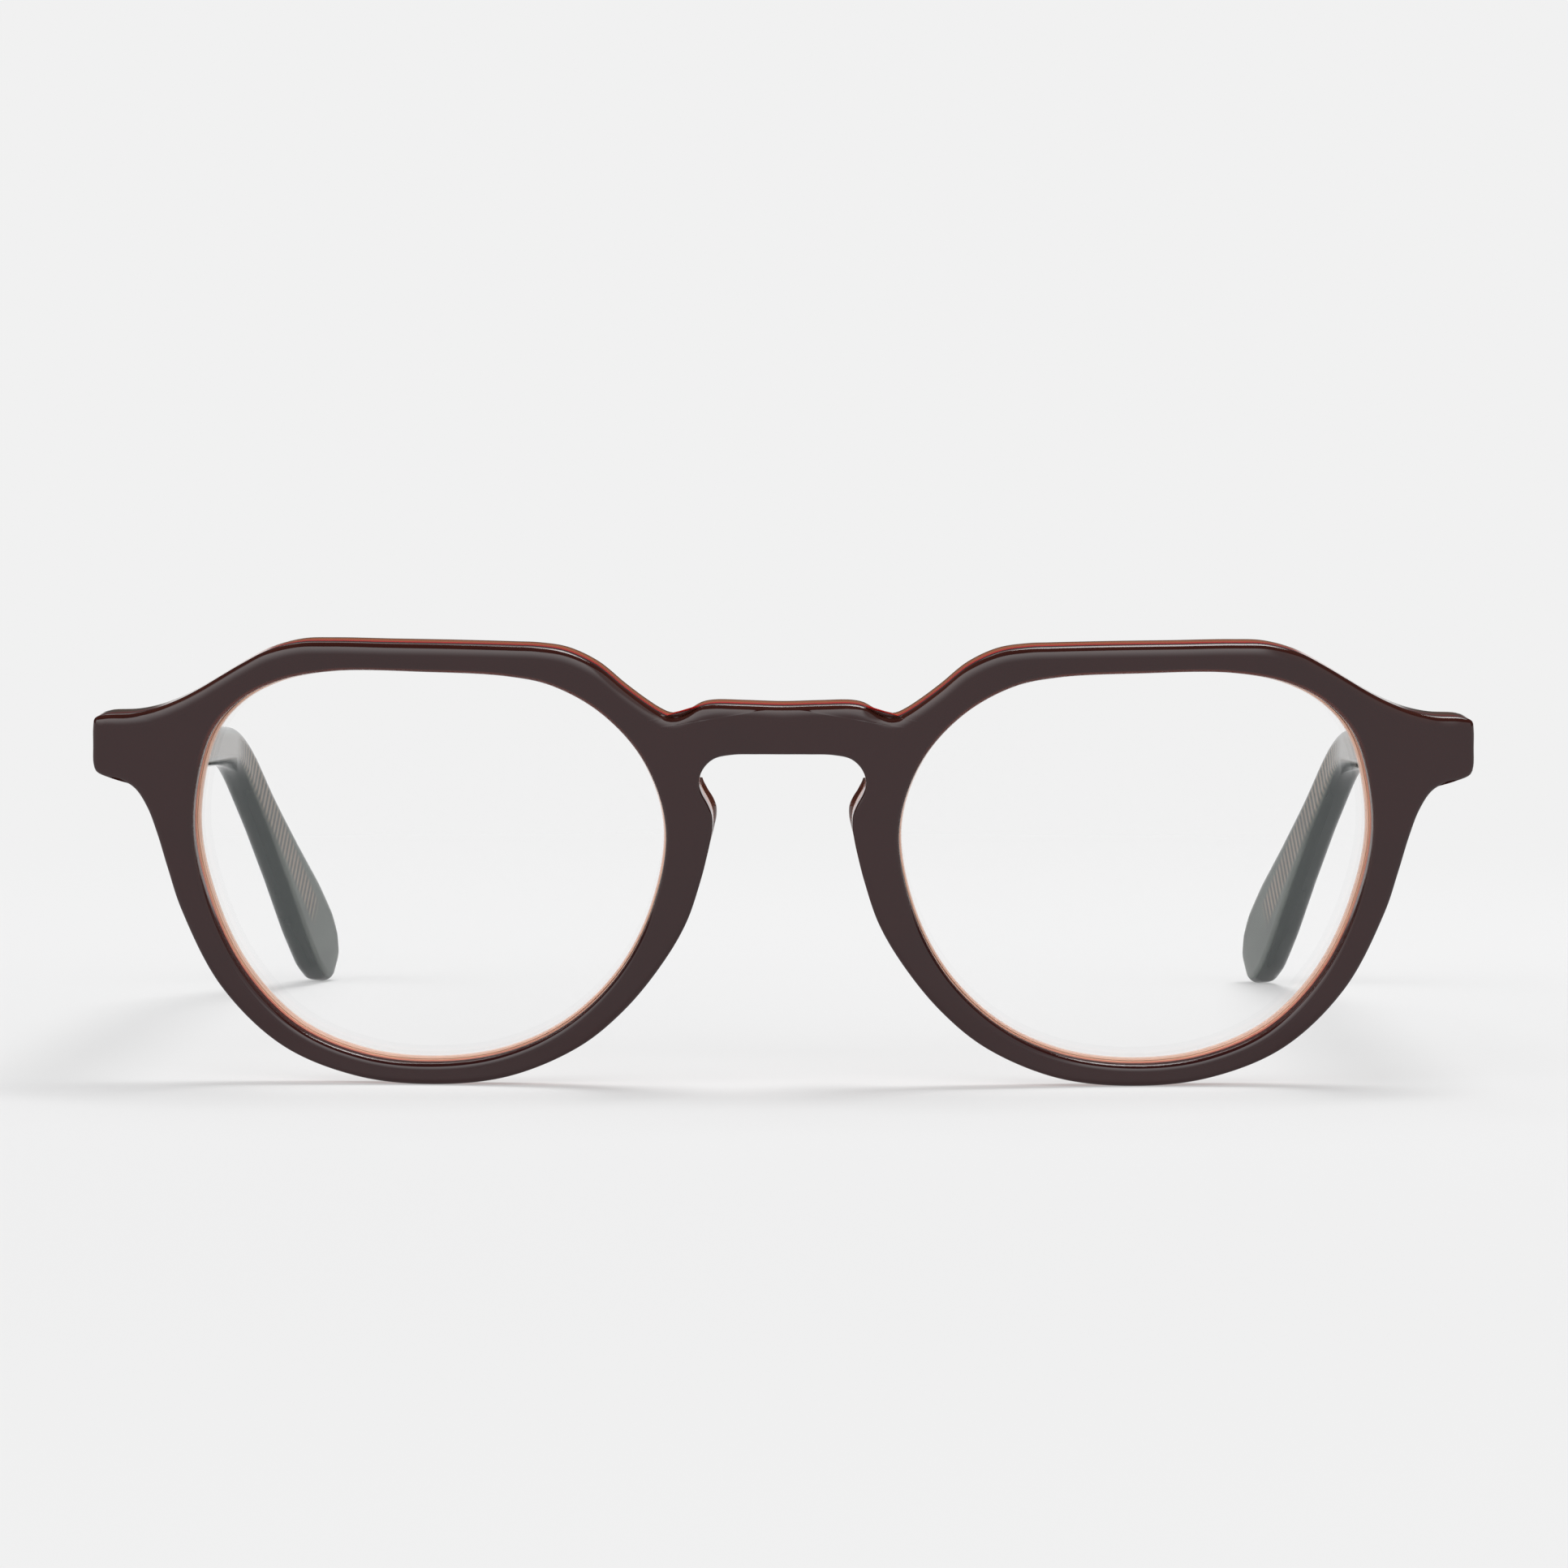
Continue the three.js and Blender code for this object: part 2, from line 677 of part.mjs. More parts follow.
function templeHingeGeometry() {
  const tall = plateHeight / 2;
  const low = [-plateProud, -armHalf, -tall];
  const high = [plateThickness - plateProud, templePlateLength - armHalf, tall];
  let solid = toSolid(boxIn(innerFace, templeAxes, low, high));
  for (let i = 1; i < knuckleCount; i += 2) {
    const bottom = knuckleBottom(i);
    solid = solid.add(toSolid(cylinderAt(barrelRadius, bottom, knuckleHeight)));
    const reach = hingeClearance + barrelRadius + plateThickness / 2;
    const arm = [[0, -armHalf, bottom], [reach, armHalf, bottom + knuckleHeight]];
    solid = solid.add(toSolid(boxIn(pivot, [buttFrame.across, backOf(buttFrame.across), upright], ...arm)));
  }
  return fromSolid(solid.subtract(bore()));
}

function backOf(across) {
  return upright.clone().cross(across);
}

function plateRecess() {
  const tall = plateHeight / 2 + plateClearance;
  const deep = plateThickness - plateProud + plateClearance;
  const low = [-cutOverrun, -pivotSetback - cutOverrun, -tall];
  const high = [deep, templePlateLength - armHalf + plateClearance, tall];
  return boxIn(innerFace, templeAxes, low, high);
}

// Slotted screw down the pivot, about its own axis
function screwGeometry() {
  const foot = -stackHeight / 2;
  const under = stackHeight / 2 + headGap;
  const top = under + headHeight;
  const profile = [
    [0, foot], [shaftRadius, foot], [shaftRadius, under], [headRadius, under],
    [headRadius, top - headChamfer], [headRadius - headChamfer, top], [0, top],
  ];
  const turned = new THREE.LatheGeometry(profile.map(([r, z]) => new THREE.Vector2(r, z)), roundSides);
  turned.rotateX(Math.PI / 2);
  const slot = new THREE.BoxGeometry(slotWidth, 2 * headRadius + cutOverrun, 2 * slotDepth);
  slot.translate(0, 0, top);
  return fromSolid(toSolid(outward(welded(turned))).subtract(toSolid(slot)));
}

// Back sheet with both hinge recesses cut
function cutBackSheet() {
  const recess = endRecess();
  const sheet = toSolid(backSheetGeometry());
  return fromSolid(sheet.subtract(toSolid(recess)).subtract(toSolid(mirrored(recess))));
}

function material(color, roughness, metalness) {
  return new THREE.MeshStandardMaterial({ color, roughness, metalness });
}
const materials = {
  burgundy: material(0x3e2227, 0.15, 0),
  red: material(0xb5301f, 0.2, 0),
  peach: material(0xe7b185, 0.2, 0),
  lens: material(0xeaf0f2, 0.05, 0),
  green: material(0x22403a, 0.18, 0),
  wire: material(0xc79a86, 0.3, 0.9),
  steel: material(0xc6c9cc, 0.25, 1),
};

function named(name, geometry, look) {
  const mesh = new THREE.Mesh(geometry, look);
  mesh.name = name;
  return mesh;
}

// Whole pair in the frame of the front, with each temple in a group about its pivot
const glasses = new THREE.Group();
const front = new THREE.Group();
front.add(named('front_outer_sheet', frontSheetGeometry(), materials.burgundy));
front.add(named('front_centre_sheet', centreSheetGeometry(), materials.red));
front.add(named('front_back_sheet', cutBackSheet(), materials.peach));
glasses.add(front);

const lens = lensGeometry();
const pad = padGeometry();
const frontHinge = frontHingeGeometry();
const screw = screwGeometry();
const templePieces = [
  ['temple', templeGeometry(), materials.green],
  ['core_wire', wireGeometry(), materials.wire],
  ['temple_hinge', templeHingeGeometry(), materials.steel],
];

for (const [side, sign] of [['left', 1], ['right', -1]]) {
  const sided = (geometry) => (sign > 0 ? geometry : mirrored(geometry));
  front.add(named(`lens_${side}`, sided(lens), materials.lens));
  front.add(named(`nose_pad_${side}`, sided(pad), materials.peach));
  front.add(named(`front_hinge_${side}`, sided(frontHinge), materials.steel));
  const pin = named(`hinge_screw_${side}`, screw, materials.steel);
  pin.position.set(sign * pivot.x, pivot.y, pivot.z);
  front.add(pin);

  const temple = new THREE.Group();
  temple.name = `${side}_temple_group`;
  temple.position.copy(pin.position);
  for (const [name, geometry, look] of templePieces) {
    const local = sided(geometry).clone().translate(...temple.position.clone().negate().toArray());
    temple.add(named(`${name}_${side}`, local, look));
  }
  glasses.add(temple);
}

// Lowest point of an object in the world, sampled at its meshes' points
function lowest(object) {
  let low = null;
  object.updateWorldMatrix(true, true);
  object.traverse((child) => {
    if (!child.isMesh) {
      return;
    }
    const at = child.geometry.attributes.position;
    for (let i = 0; i < at.count; i++) {
      const point = new THREE.Vector3().fromBufferAttribute(at, i).applyMatrix4(child.matrixWorld);
      if (low === null || point.z < low.z) {
        low = point;
      }
    }
  });
  return low;
}

// Turned forward until the rims and the tips stand on one level, then centred over the origin
function stand(pair, rims, tips) {
  const model = new THREE.Group();
  model.add(pair);
  for (let pass = 0; pass < standPasses; pass++) {
    const rim = lowest(rims);
    const tip = lowest(tips);
    pair.rotation.x -= Math.atan2(tip.z - rim.z, tip.y - rim.y);
  }
  const box = new THREE.Box3().setFromObject(model, true);
  const middle = box.getCenter(new THREE.Vector3());
  pair.position.set(-middle.x, -middle.y, -box.min.z);
  return model;
}

export default stand(glasses, front, glasses.children.at(-1));
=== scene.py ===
# Crown-shaped acetate eyeglasses, standing open on their lower rims and temple tips
import json
import math

import bmesh
import bpy
import numpy as np
from mathutils import Matrix, Vector
from mathutils.kdtree import KDTree


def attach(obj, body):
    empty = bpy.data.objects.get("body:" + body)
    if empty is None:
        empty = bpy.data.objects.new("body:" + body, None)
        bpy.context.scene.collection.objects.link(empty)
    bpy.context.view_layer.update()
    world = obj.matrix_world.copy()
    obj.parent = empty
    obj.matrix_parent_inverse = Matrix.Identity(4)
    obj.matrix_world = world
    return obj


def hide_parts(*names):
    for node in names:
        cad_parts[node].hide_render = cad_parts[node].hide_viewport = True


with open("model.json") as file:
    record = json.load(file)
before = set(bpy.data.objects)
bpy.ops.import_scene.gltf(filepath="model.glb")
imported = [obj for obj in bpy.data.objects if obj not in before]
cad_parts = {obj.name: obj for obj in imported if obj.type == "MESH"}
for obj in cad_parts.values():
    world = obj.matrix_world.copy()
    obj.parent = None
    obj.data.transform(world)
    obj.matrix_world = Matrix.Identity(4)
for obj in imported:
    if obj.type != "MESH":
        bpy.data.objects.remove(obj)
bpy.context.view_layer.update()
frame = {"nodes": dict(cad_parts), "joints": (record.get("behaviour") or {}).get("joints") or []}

millimetre = 0.001
acetateIndex = 1.49  # how strongly acetate bends light

# The front is drawn flat, in millimetres: x across, z up, depth backward. Then it is bent round
# the face.
front = {
    "lensWidth": 48.0,
    "lensHeight": 40.4,
    "bridgeWidth": 22.5,
    "outerSheet": 1.45,
    "centreSheet": 0.5,
    "backSheet": 2.0,
    "bondLine": 0.05,
    "bendRadius": 400.0,
    "rimWidth": 2.2,
    "bridgeBar": 5.0,
    "keyholeDrop": 6.4,
    "endReach": 10.1,
    "endHeight": 6.6,
    "bridgeTopShare": 0.925,
    "endRiseShare": 0.711,
    "grooveReach": 0.36,
    "bevelHalf": 0.45,
    "lensClearance": 0.12,
    "stationStep": 0.45,  # along the outline
    "middleStations": 22,  # down the middle line, through the bridge
    "faceRings": 11,  # between the opening and the outline
    "edgeRings": (0.006, 0.994),  # two more, close to either
    "slack": 0.095,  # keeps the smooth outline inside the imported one
}

# Opening for a lens: across from its nose side and up from its sill, anticlockwise from the bottom
openingShares = [
    (0.50, 0.0), (0.648, 0.017), (0.788, 0.087), (0.899, 0.224), (0.969, 0.40),
    (1.00, 0.602), (0.962, 0.823), (0.901, 0.913), (0.816, 0.969), (0.697, 0.998),
    (0.50, 1.0), (0.33, 0.992), (0.236, 0.969), (0.132, 0.899), (0.044, 0.778),
    (0.0, 0.612), (0.027, 0.41), (0.101, 0.235), (0.216, 0.101), (0.35, 0.026),
]
# Outline rows: the place along the opening, counted in opening points, then one or two shares
keyholeShares = [  # across in nose half widths, drop below the bridge in keyhole drops
    (13.72, 0, 0), (13.80, 0.22, 0), (13.90, 0.43, 0.01), (14.03, 0.583, 0.075),
    (14.18, 0.672, 0.235), (14.37, 0.704, 0.42), (14.58, 0.682, 0.595), (14.70, 0.63, 0.77),
    (14.82, 0.595, 0.93), (14.96, 0.588, 1.11), (15.16, 0.606, 1.34), (15.42, 0.638, 1.61),
    (15.72, 0.69, 1.98),
]
lowerRimShares = [  # width in rim widths, square to the opening
    (16.05, 1.70), (16.6, 1.45), (17.3, 1.275), (18, 1.19), (19, 1.09), (20, 1.0), (21, 1.025),
    (22, 1.12), (23, 1.25), (24, 1.355), (24.5, 1.45),
]
endpieceShares = [  # out in reaches beyond the opening, up in endpiece heights
    (24.76, 0.37, -0.83), (24.95, 0.466, -0.43), (25.08, 0.586, -0.15), (25.18, 0.735, -0.025),
    (25.26, 0.886, 0.018), (25.33, 0.973, 0.093), (25.40, 1.0, 0.22), (25.60, 1.0, 0.51),
    (25.78, 1.0, 0.775), (25.84, 0.984, 0.915), (25.90, 0.89, 0.975), (26.04, 0.605, 1.012),
    (26.2, 0.365, 1.10), (26.38, 0.14, 1.24),
]
upperRimShares = [  # width in rim widths, square to the opening
    (26.62, 1.665), (27, 1.47), (27.5, 1.41), (28, 1.495), (28.5, 1.505), (29, 1.37),
    (29.6, 1.29), (30.3, 1.335), (31, 1.44), (31.5, 1.57), (32, 1.725), (32.5, 1.73), (33, 1.59),
]
notchShares = [  # across in nose half widths, rise above the bridge in rim widths
    (33.12, 1.175, 0.085), (33.2, 1.05, -0.34), (33.25, 0.97, -0.525), (33.3, 0.89, -0.53),
    (33.35, 0.8, -0.34), (33.38, 0.702, -0.055), (33.41, 0.594, 0.062), (33.45, 0.313, 0.045),
    (33.5, 0, 0),
]

noseHalf = front["bridgeWidth"] / 2 + front["grooveReach"]
openingWidth = front["lensWidth"] - 2 * front["grooveReach"]
openingHeight = front["lensHeight"] - 2 * front["grooveReach"]
templeSide = noseHalf + openingWidth
bridgeTop = front["rimWidth"] + openingHeight * front["bridgeTopShare"]
bridgeUnder = bridgeTop - front["bridgeBar"]
endBottom = front["rimWidth"] + openingHeight * front["endRiseShare"]
endMiddle = endBottom + front["endHeight"] / 2
frontHalf = templeSide + front["endReach"]
frontThickness = (front["outerSheet"] + front["centreSheet"] + front["backSheet"]
                  + 2 * front["bondLine"])
lensDepth = frontThickness - front["backSheet"] / 2


# Centripetal curve through points: a cubic between neighbours, whose slopes allow for uneven
# spacing
def curveAt(points, place, closed=False):
    points = np.asarray(points, float)
    place = np.asarray(place, float)
    count = len(points)
    if closed:
        low = np.floor(place).astype(int)
        near = [points[(low + k) % count] for k in (-1, 0, 1, 2)]
    else:
        low = np.clip(np.floor(place).astype(int), 0, count - 2)
        ends = np.vstack([2 * points[0] - points[1], points, 2 * points[-1] - points[-2]])
        near = [ends[low + k] for k in (0, 1, 2, 3)]
    before, start, end, after = near
    part = (place - low)[..., None]
    gaps = [np.maximum(np.linalg.norm(b - a, axis=-1, keepdims=True), 1e-9) ** 0.5
            for a, b in ((before, start), (start, end), (end, after))]
    slopeStart = ((start - before) / gaps[0] - (end - before) / (gaps[0] + gaps[1])
                  + (end - start) / gaps[1])
    slopeEnd = ((end - start) / gaps[1] - (after - start) / (gaps[1] + gaps[2])
                + (after - end) / gaps[2])
    slopeStart, slopeEnd = slopeStart * gaps[1], slopeEnd * gaps[1]
    square = -3 * start + 3 * end - 2 * slopeStart - slopeEnd
    cube = 2 * start - 2 * end + slopeStart + slopeEnd
    return start + part * (slopeStart + part * (square + part * cube))


# Point on a curve moved sideways: the curve's place plus its unit slope turned a quarter
def besideCurve(points, place, sideways, closed):
    nudge = 0.002
    slope = curveAt(points, place + nudge, closed) - curveAt(points, place - nudge, closed)
    slope = slope / np.linalg.norm(slope, axis=-1, keepdims=True)
    across = np.stack([slope[..., 1], -slope[..., 0]], -1)
    return curveAt(points, place, closed) + sideways * across


openingPoints = np.array([(noseHalf + u * openingWidth, front["rimWidth"] + v * openingHeight)
                          for u, v in openingShares])


# Opening's curve at a place, moved out into the rim
def openingAt(place, out):
    return besideCurve(openingPoints, np.asarray(place, float), out, True)


# Places and flat points of all outline rows, in order from under the bridge round to its top
def outlineRows():
    rows = [(p, (a * noseHalf, bridgeUnder - d * front["keyholeDrop"]))
            for p, a, d in keyholeShares]
    rows += [(p, openingAt(p, w * front["rimWidth"])) for p, w in lowerRimShares]
    rows += [(p, (templeSide + o * front["endReach"], endBottom + u * front["endHeight"]))
             for p, o, u in endpieceShares]
    rows += [(p, openingAt(p, w * front["rimWidth"])) for p, w in upperRimShares]
    rows += [(p, (a * noseHalf, bridgeTop + r * front["rimWidth"])) for p, a, r in notchShares]
    return np.array([p for p, _ in rows]), np.array([point for _, point in rows])


rowPlaces, rowPoints = outlineRows()
# One mirrored point past each end, so that the outline crosses the middle plane squarely
crossedPoints = np.vstack([rowPoints[1] * (-1, 1), rowPoints, rowPoints[-2] * (-1, 1)])


# Outline's curve at a row, moved inward. Its two ends stay on the middle plane.
def rimAt(row, inset):
    point = besideCurve(crossedPoints, np.asarray(row, float) + 1, -inset, False)
    point[..., 0] = np.where((row <= 0) | (row >= len(rowPoints) - 1), 0, point[..., 0])
    return point


# Flat front to bent front: x follows a circle of the bend's radius, and depth runs square to it
def bendFront(x, depth, z):
    radius = front["bendRadius"]
    slope = -x / radius
    length = np.sqrt(1 + slope ** 2)
    return np.stack([x + depth * slope / length, x ** 2 / (2 * radius) + depth / length,
                     z + 0 * x], -1)


def bendFlat(flat, depth):
    return bendFront(flat[..., 0], depth, flat[..., 1])


# Stations pair a place on the opening with a row of the outline, or with a share of the middle
# line, whose shares follow a half cosine
def makeStations(step):
    places, rows = [], []
    for i in range(len(rowPoints) - 1):
        steps = max(2, math.ceil(np.linalg.norm(rowPoints[i + 1] - rowPoints[i]) / step))
        part = np.arange(steps) / steps
        places.append(rowPlaces[i] + part * (rowPlaces[i + 1] - rowPlaces[i]))
        rows.append(i + part)
    places.append([rowPlaces[-1]])
    rows.append([len(rowPoints) - 1])
    walled = sum(len(r) for r in rows)
    angle = np.linspace(0, math.pi, front["middleStations"] + 2)[1:-1]
    middle = 0.5 - 0.5 * np.cos(angle)
    places.append(rowPlaces[-1] + middle * (rowPlaces[0] + len(openingShares) - rowPlaces[-1]))
    return {"place": np.concatenate(places), "row": np.concatenate(rows), "middle": middle,
            "walled": walled}


stations = makeStations(front["stationStep"])


# Outline moved inward at every station, closed down the middle line
def rimRing(inset):
    inset = inset + front["slack"]
    ring = rimAt(stations["row"], inset)
    height = bridgeTop - inset + stations["middle"] * (bridgeUnder - bridgeTop + 2 * inset)
    return np.vstack([ring, np.stack([0 * height, height], -1)])


# Quads of a grid of points, row by row, joined end to end where it wraps
def gridFaces(rows, columns, wrap, first):
    index = first + np.arange(rows * columns).reshape(rows, columns)
    if wrap:
        index = np.hstack([index, index[:, :1]])
    return np.stack([index[:-1, :-1], index[:-1, 1:], index[1:, 1:], index[1:, :-1]],
                    -1).reshape(-1, 4)


# Several grids as one cloud of points with its quads, and values for each point
def gather(grids):
    points, faces, values, first = [], [], [], 0
    for grid, value, wrap in grids:
        rows, columns = grid.shape[:2]
        points.append(grid.reshape(-1, 3))
        value = np.broadcast_to(value, (rows, columns, np.shape(value)[-1]))
        values.append(value.reshape(rows * columns, -1))
        faces.append(gridFaces(rows, columns, wrap, first))
        first += rows * columns
    return np.vstack(points), np.vstack(faces), np.vstack(values)


# Mirror image of a cloud: x changes sign, and every face runs the other way round
def mirroredCloud(cloud):
    points, faces, values = cloud
    return points * (-1, 1, 1), faces[:, ::-1], values


def withMirror(cloud):
    points, faces, values = cloud
    otherPoints, otherFaces, otherValues = mirroredCloud(cloud)
    return (np.vstack([points, otherPoints]), np.vstack([faces, otherFaces + len(points)]),
            np.vstack([values, otherValues]))


# The whole front leans until its rims and the temple tips stand on one level: a turn about x,
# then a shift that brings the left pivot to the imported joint
jointOf = {joint["name"]: joint for joint in frame["joints"]}
leanAxis = jointOf["fold_left"]["axis"]
leanAngle = math.atan2(-leanAxis[1], leanAxis[2])


def turned(points):
    cosine, sine = math.cos(leanAngle), math.sin(leanAngle)
    y, z = points[..., 1], points[..., 2]
    return np.stack([points[..., 0], y * cosine - z * sine, y * sine + z * cosine], -1)


hinge = {
    "templeThickness": 4.0,
    "outerSetback": 0.5,
    "clearance": 0.3,
    "barrelRadius": 1.3,
    "pivotSetback": 1.6,
    "pivotPasses": 8,
    "buttGap": 0.3,
}


# Left pivot and the place on the endpiece's back before it, on the bent front. The pivot's flat
# place is found by steps, each adding what its bent x still misses.
def pivotPlace():
    target = (frontHalf - hinge["outerSetback"] - hinge["templeThickness"] - hinge["clearance"]
              - hinge["barrelRadius"])
    reach = np.array(frontThickness + hinge["pivotSetback"])
    x = target
    for _ in range(hinge["pivotPasses"]):
        x = target + x - bendFront(np.array(x), reach, 0)[0]
    x = np.array(x)
    return bendFront(x, reach, endMiddle), bendFront(x, np.array(frontThickness), endMiddle)


pivot, endBack = pivotPlace()
endNormal = (pivot - endBack) / np.linalg.norm(pivot - endBack)
standShift = np.array(jointOf["fold_left"]["pos_m"]) / millimetre - turned(pivot)

cleaning = {"doubles": 1e-6, "slivers": 1e-7, "sharpAngle": 38}  # metres, metres, degrees


# Finished piece: points in the front's frame become metres in the row frame, with doubles merged
def makePiece(name, cloud, valueNames, material, body, replaced):
    points, faces, values = cloud
    mesh = bpy.data.meshes.new(name)
    mesh.from_pydata((turned(points) + standShift) * millimetre, [], faces)
    for column, valueName in enumerate(valueNames):
        layer = mesh.attributes.new(valueName, "FLOAT", "POINT")
        layer.data.foreach_set("value", values[:, column].astype(np.float32))
    work = bmesh.new()
    work.from_mesh(mesh)
    bmesh.ops.remove_doubles(work, verts=work.verts, dist=cleaning["doubles"])
    bmesh.ops.dissolve_degenerate(work, edges=work.edges, dist=cleaning["slivers"])
    bmesh.ops.recalc_face_normals(work, faces=work.faces)
    work.to_mesh(mesh)
    work.free()
    mesh.polygons.foreach_set("use_smooth", np.ones(len(mesh.polygons), bool))
    mesh.set_sharp_from_angle(angle=math.radians(cleaning["sharpAngle"]))
    mesh.materials.append(material)
    piece = bpy.data.objects.new(name, mesh)
    bpy.context.scene.collection.objects.link(piece)
    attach(piece, body)
    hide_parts(replaced)
    print("made", name, len(mesh.polygons), "faces")


# Colours are written as a screen shows them, and each channel is turned into an amount of light
def fromScreen(red, green, blue):
    shown = [c / 255 for c in (red, green, blue)]
    return tuple(((c + 0.055) / 1.055) ** 2.4 if c > 0.04 else c / 12.92 for c in shown) + (1,)


# A socket takes a number or a colour as it is, and another socket as a link
def feed(tree, value, socket):
    if isinstance(value, (int, float, tuple)):
        socket.default_value = value
    else:
        tree.links.new(value, socket)


# Node with its settings, and then its inputs, whose names are written with _ for a space
def addNode(tree, kind, **settings):
    node = tree.nodes.new(kind)
    for key, value in settings.items():
        if key in node.bl_rna.properties:
            setattr(node, key, value)
        else:
            feed(tree, value, node.inputs[key.replace("_", " ")])
    return node


def mathNode(tree, operation, *values, clamp=False):
    node = addNode(tree, "ShaderNodeMath", operation=operation, use_clamp=clamp)
    for value, socket in zip(values, node.inputs):
        feed(tree, value, socket)
    return node.outputs[0]


def oneMinus(tree, value):
    return mathNode(tree, "SUBTRACT", 1.0, value)


def product(tree, value, *others):
    for other in others:
        value = mathNode(tree, "MULTIPLY", value, other)
    return value


def mixColours(tree, share, first, second):
    node = addNode(tree, "ShaderNodeMix", data_type="RGBA")
    for value, index in ((share, 0), (first, 6), (second, 7)):  # its sockets for colours
        feed(tree, value, node.inputs[index])
    return node.outputs[2]


# Smooth step from the least to the most share while the value crosses a reach
def stepNode(tree, value, reach, least=0.0, most=1.0):
    low, high = reach
    node = addNode(tree, "ShaderNodeMapRange", interpolation_type="SMOOTHSTEP", Value=value,
                   From_Min=low, From_Max=high, To_Min=least, To_Max=most)
    return node.outputs["Result"]


# Share that rises over one reach and falls over another
def bandNode(tree, value, rise, fall):
    return product(tree, stepNode(tree, value, rise), oneMinus(tree, stepNode(tree, value, fall)))


# Colour that turns from the first to the second while the value crosses a reach
def turnColour(tree, value, reach, first, second):
    return mixColours(tree, stepNode(tree, value, reach), first, second)


def valueOf(tree, name):
    return addNode(tree, "ShaderNodeAttribute", attribute_name=name).outputs["Fac"]


# X, Y and Z of a kind of texture coordinates
def axesOf(tree, kind="Object"):
    place = addNode(tree, "ShaderNodeTexCoord").outputs[kind]
    return addNode(tree, "ShaderNodeSeparateXYZ", Vector=place).outputs


def newMaterial(name, **settings):
    material = bpy.data.materials.new(name)
    material.use_nodes = True
    tree = material.node_tree
    tree.nodes.clear()
    shader = addNode(tree, "ShaderNodeBsdfPrincipled", **settings)
    addNode(tree, "ShaderNodeOutputMaterial", Surface=shader.outputs[0])
    return material, tree, shader


# Two shaders mixed by a share, in place of what the output shows
def mixShaders(tree, share, first, second):
    either = addNode(tree, "ShaderNodeMixShader")
    for value, socket in zip((share, first.outputs[0], second.outputs[0]), either.inputs):
        feed(tree, value, socket)
    output = [n for n in tree.nodes if n.type == "OUTPUT_MATERIAL"][0]
    feed(tree, either.outputs[0], output.inputs["Surface"])


cast = {
    "cloudDetail": 3.0,
    "cloudRoughness": 0.55,
    "cloudDistortion": 0.6,
    "cloudReach": (0.38, 0.68),  # of the noise, where the second tone grows
    "markScale": 2600.0,
    "markDetail": 4.0,
    "markRoughness": 0.6,
    "markStretch": (0.35, 1.0, 1.6),
    "markTurn": (0.2, 0.5, 0.3),
    "bumpStrength": 0.06,
}


# Cast acetate: slow clouds of a second tone, and fine polishing marks in roughness and height
def makeCastGroup():
    group = bpy.data.node_groups.new("castAcetate", "ShaderNodeTree")
    for way, name, kind in (
            ("INPUT", "Colour", "Color"), ("INPUT", "Second Tone", "Color"),
            ("INPUT", "Cloud Share", "Float"), ("INPUT", "Cloud Scale", "Float"),
            ("INPUT", "Roughness", "Float"), ("INPUT", "Polish Marks", "Float"),
            ("OUTPUT", "Colour", "Color"), ("OUTPUT", "Roughness", "Float"),
            ("OUTPUT", "Height", "Float")):
        group.interface.new_socket(name, in_out=way, socket_type="NodeSocket" + kind)
    given = addNode(group, "NodeGroupInput").outputs
    result = addNode(group, "NodeGroupOutput").inputs
    place = addNode(group, "ShaderNodeTexCoord").outputs["Object"]
    cloud = addNode(group, "ShaderNodeTexNoise", Vector=place, Scale=given["Cloud Scale"],
                    Detail=cast["cloudDetail"], Roughness=cast["cloudRoughness"],
                    Distortion=cast["cloudDistortion"])
    share = product(group, stepNode(group, cloud.outputs["Fac"], cast["cloudReach"]),
                    given["Cloud Share"])
    colour = mixColours(group, share, given["Colour"], given["Second Tone"])
    stretch = addNode(group, "ShaderNodeMapping", Vector=place, Scale=cast["markStretch"],
                      Rotation=cast["markTurn"])
    marks = addNode(group, "ShaderNodeTexNoise", Vector=stretch.outputs[0],
                    Scale=cast["markScale"], Detail=cast["markDetail"],
                    Roughness=cast["markRoughness"]).outputs["Fac"]
    offset = product(group, mathNode(group, "SUBTRACT", marks, 0.5), given["Polish Marks"])
    roughness = mathNode(group, "ADD", given["Roughness"], offset, clamp=True)
    for value, name in ((colour, "Colour"), (roughness, "Roughness"), (marks, "Height")):
        feed(group, value, result[name])
    return group


castGroup = makeCastGroup()


# Cast surface before a shader. The finish gives its second tone, clouds, roughness and marks.
def useCast(tree, shader, colour, finish):
    node = addNode(tree, "ShaderNodeGroup")
    node.node_tree = castGroup
    for name, value in (
            ("Colour", colour), ("Second Tone", finish["cloud"]),
            ("Cloud Share", finish["cloudShare"]), ("Cloud Scale", finish["cloudScale"]),
            ("Roughness", finish["roughness"]), ("Polish Marks", finish["marks"])):
        feed(tree, value, node.inputs[name])
    bump = addNode(tree, "ShaderNodeBump", Height=node.outputs["Height"],
                   Strength=cast["bumpStrength"], Distance=finish["markHeight"])
    feed(tree, node.outputs["Colour"], shader.inputs["Base Color"])
    feed(tree, node.outputs["Roughness"], shader.inputs["Roughness"])
    feed(tree, bump.outputs[0], shader.inputs["Normal"])


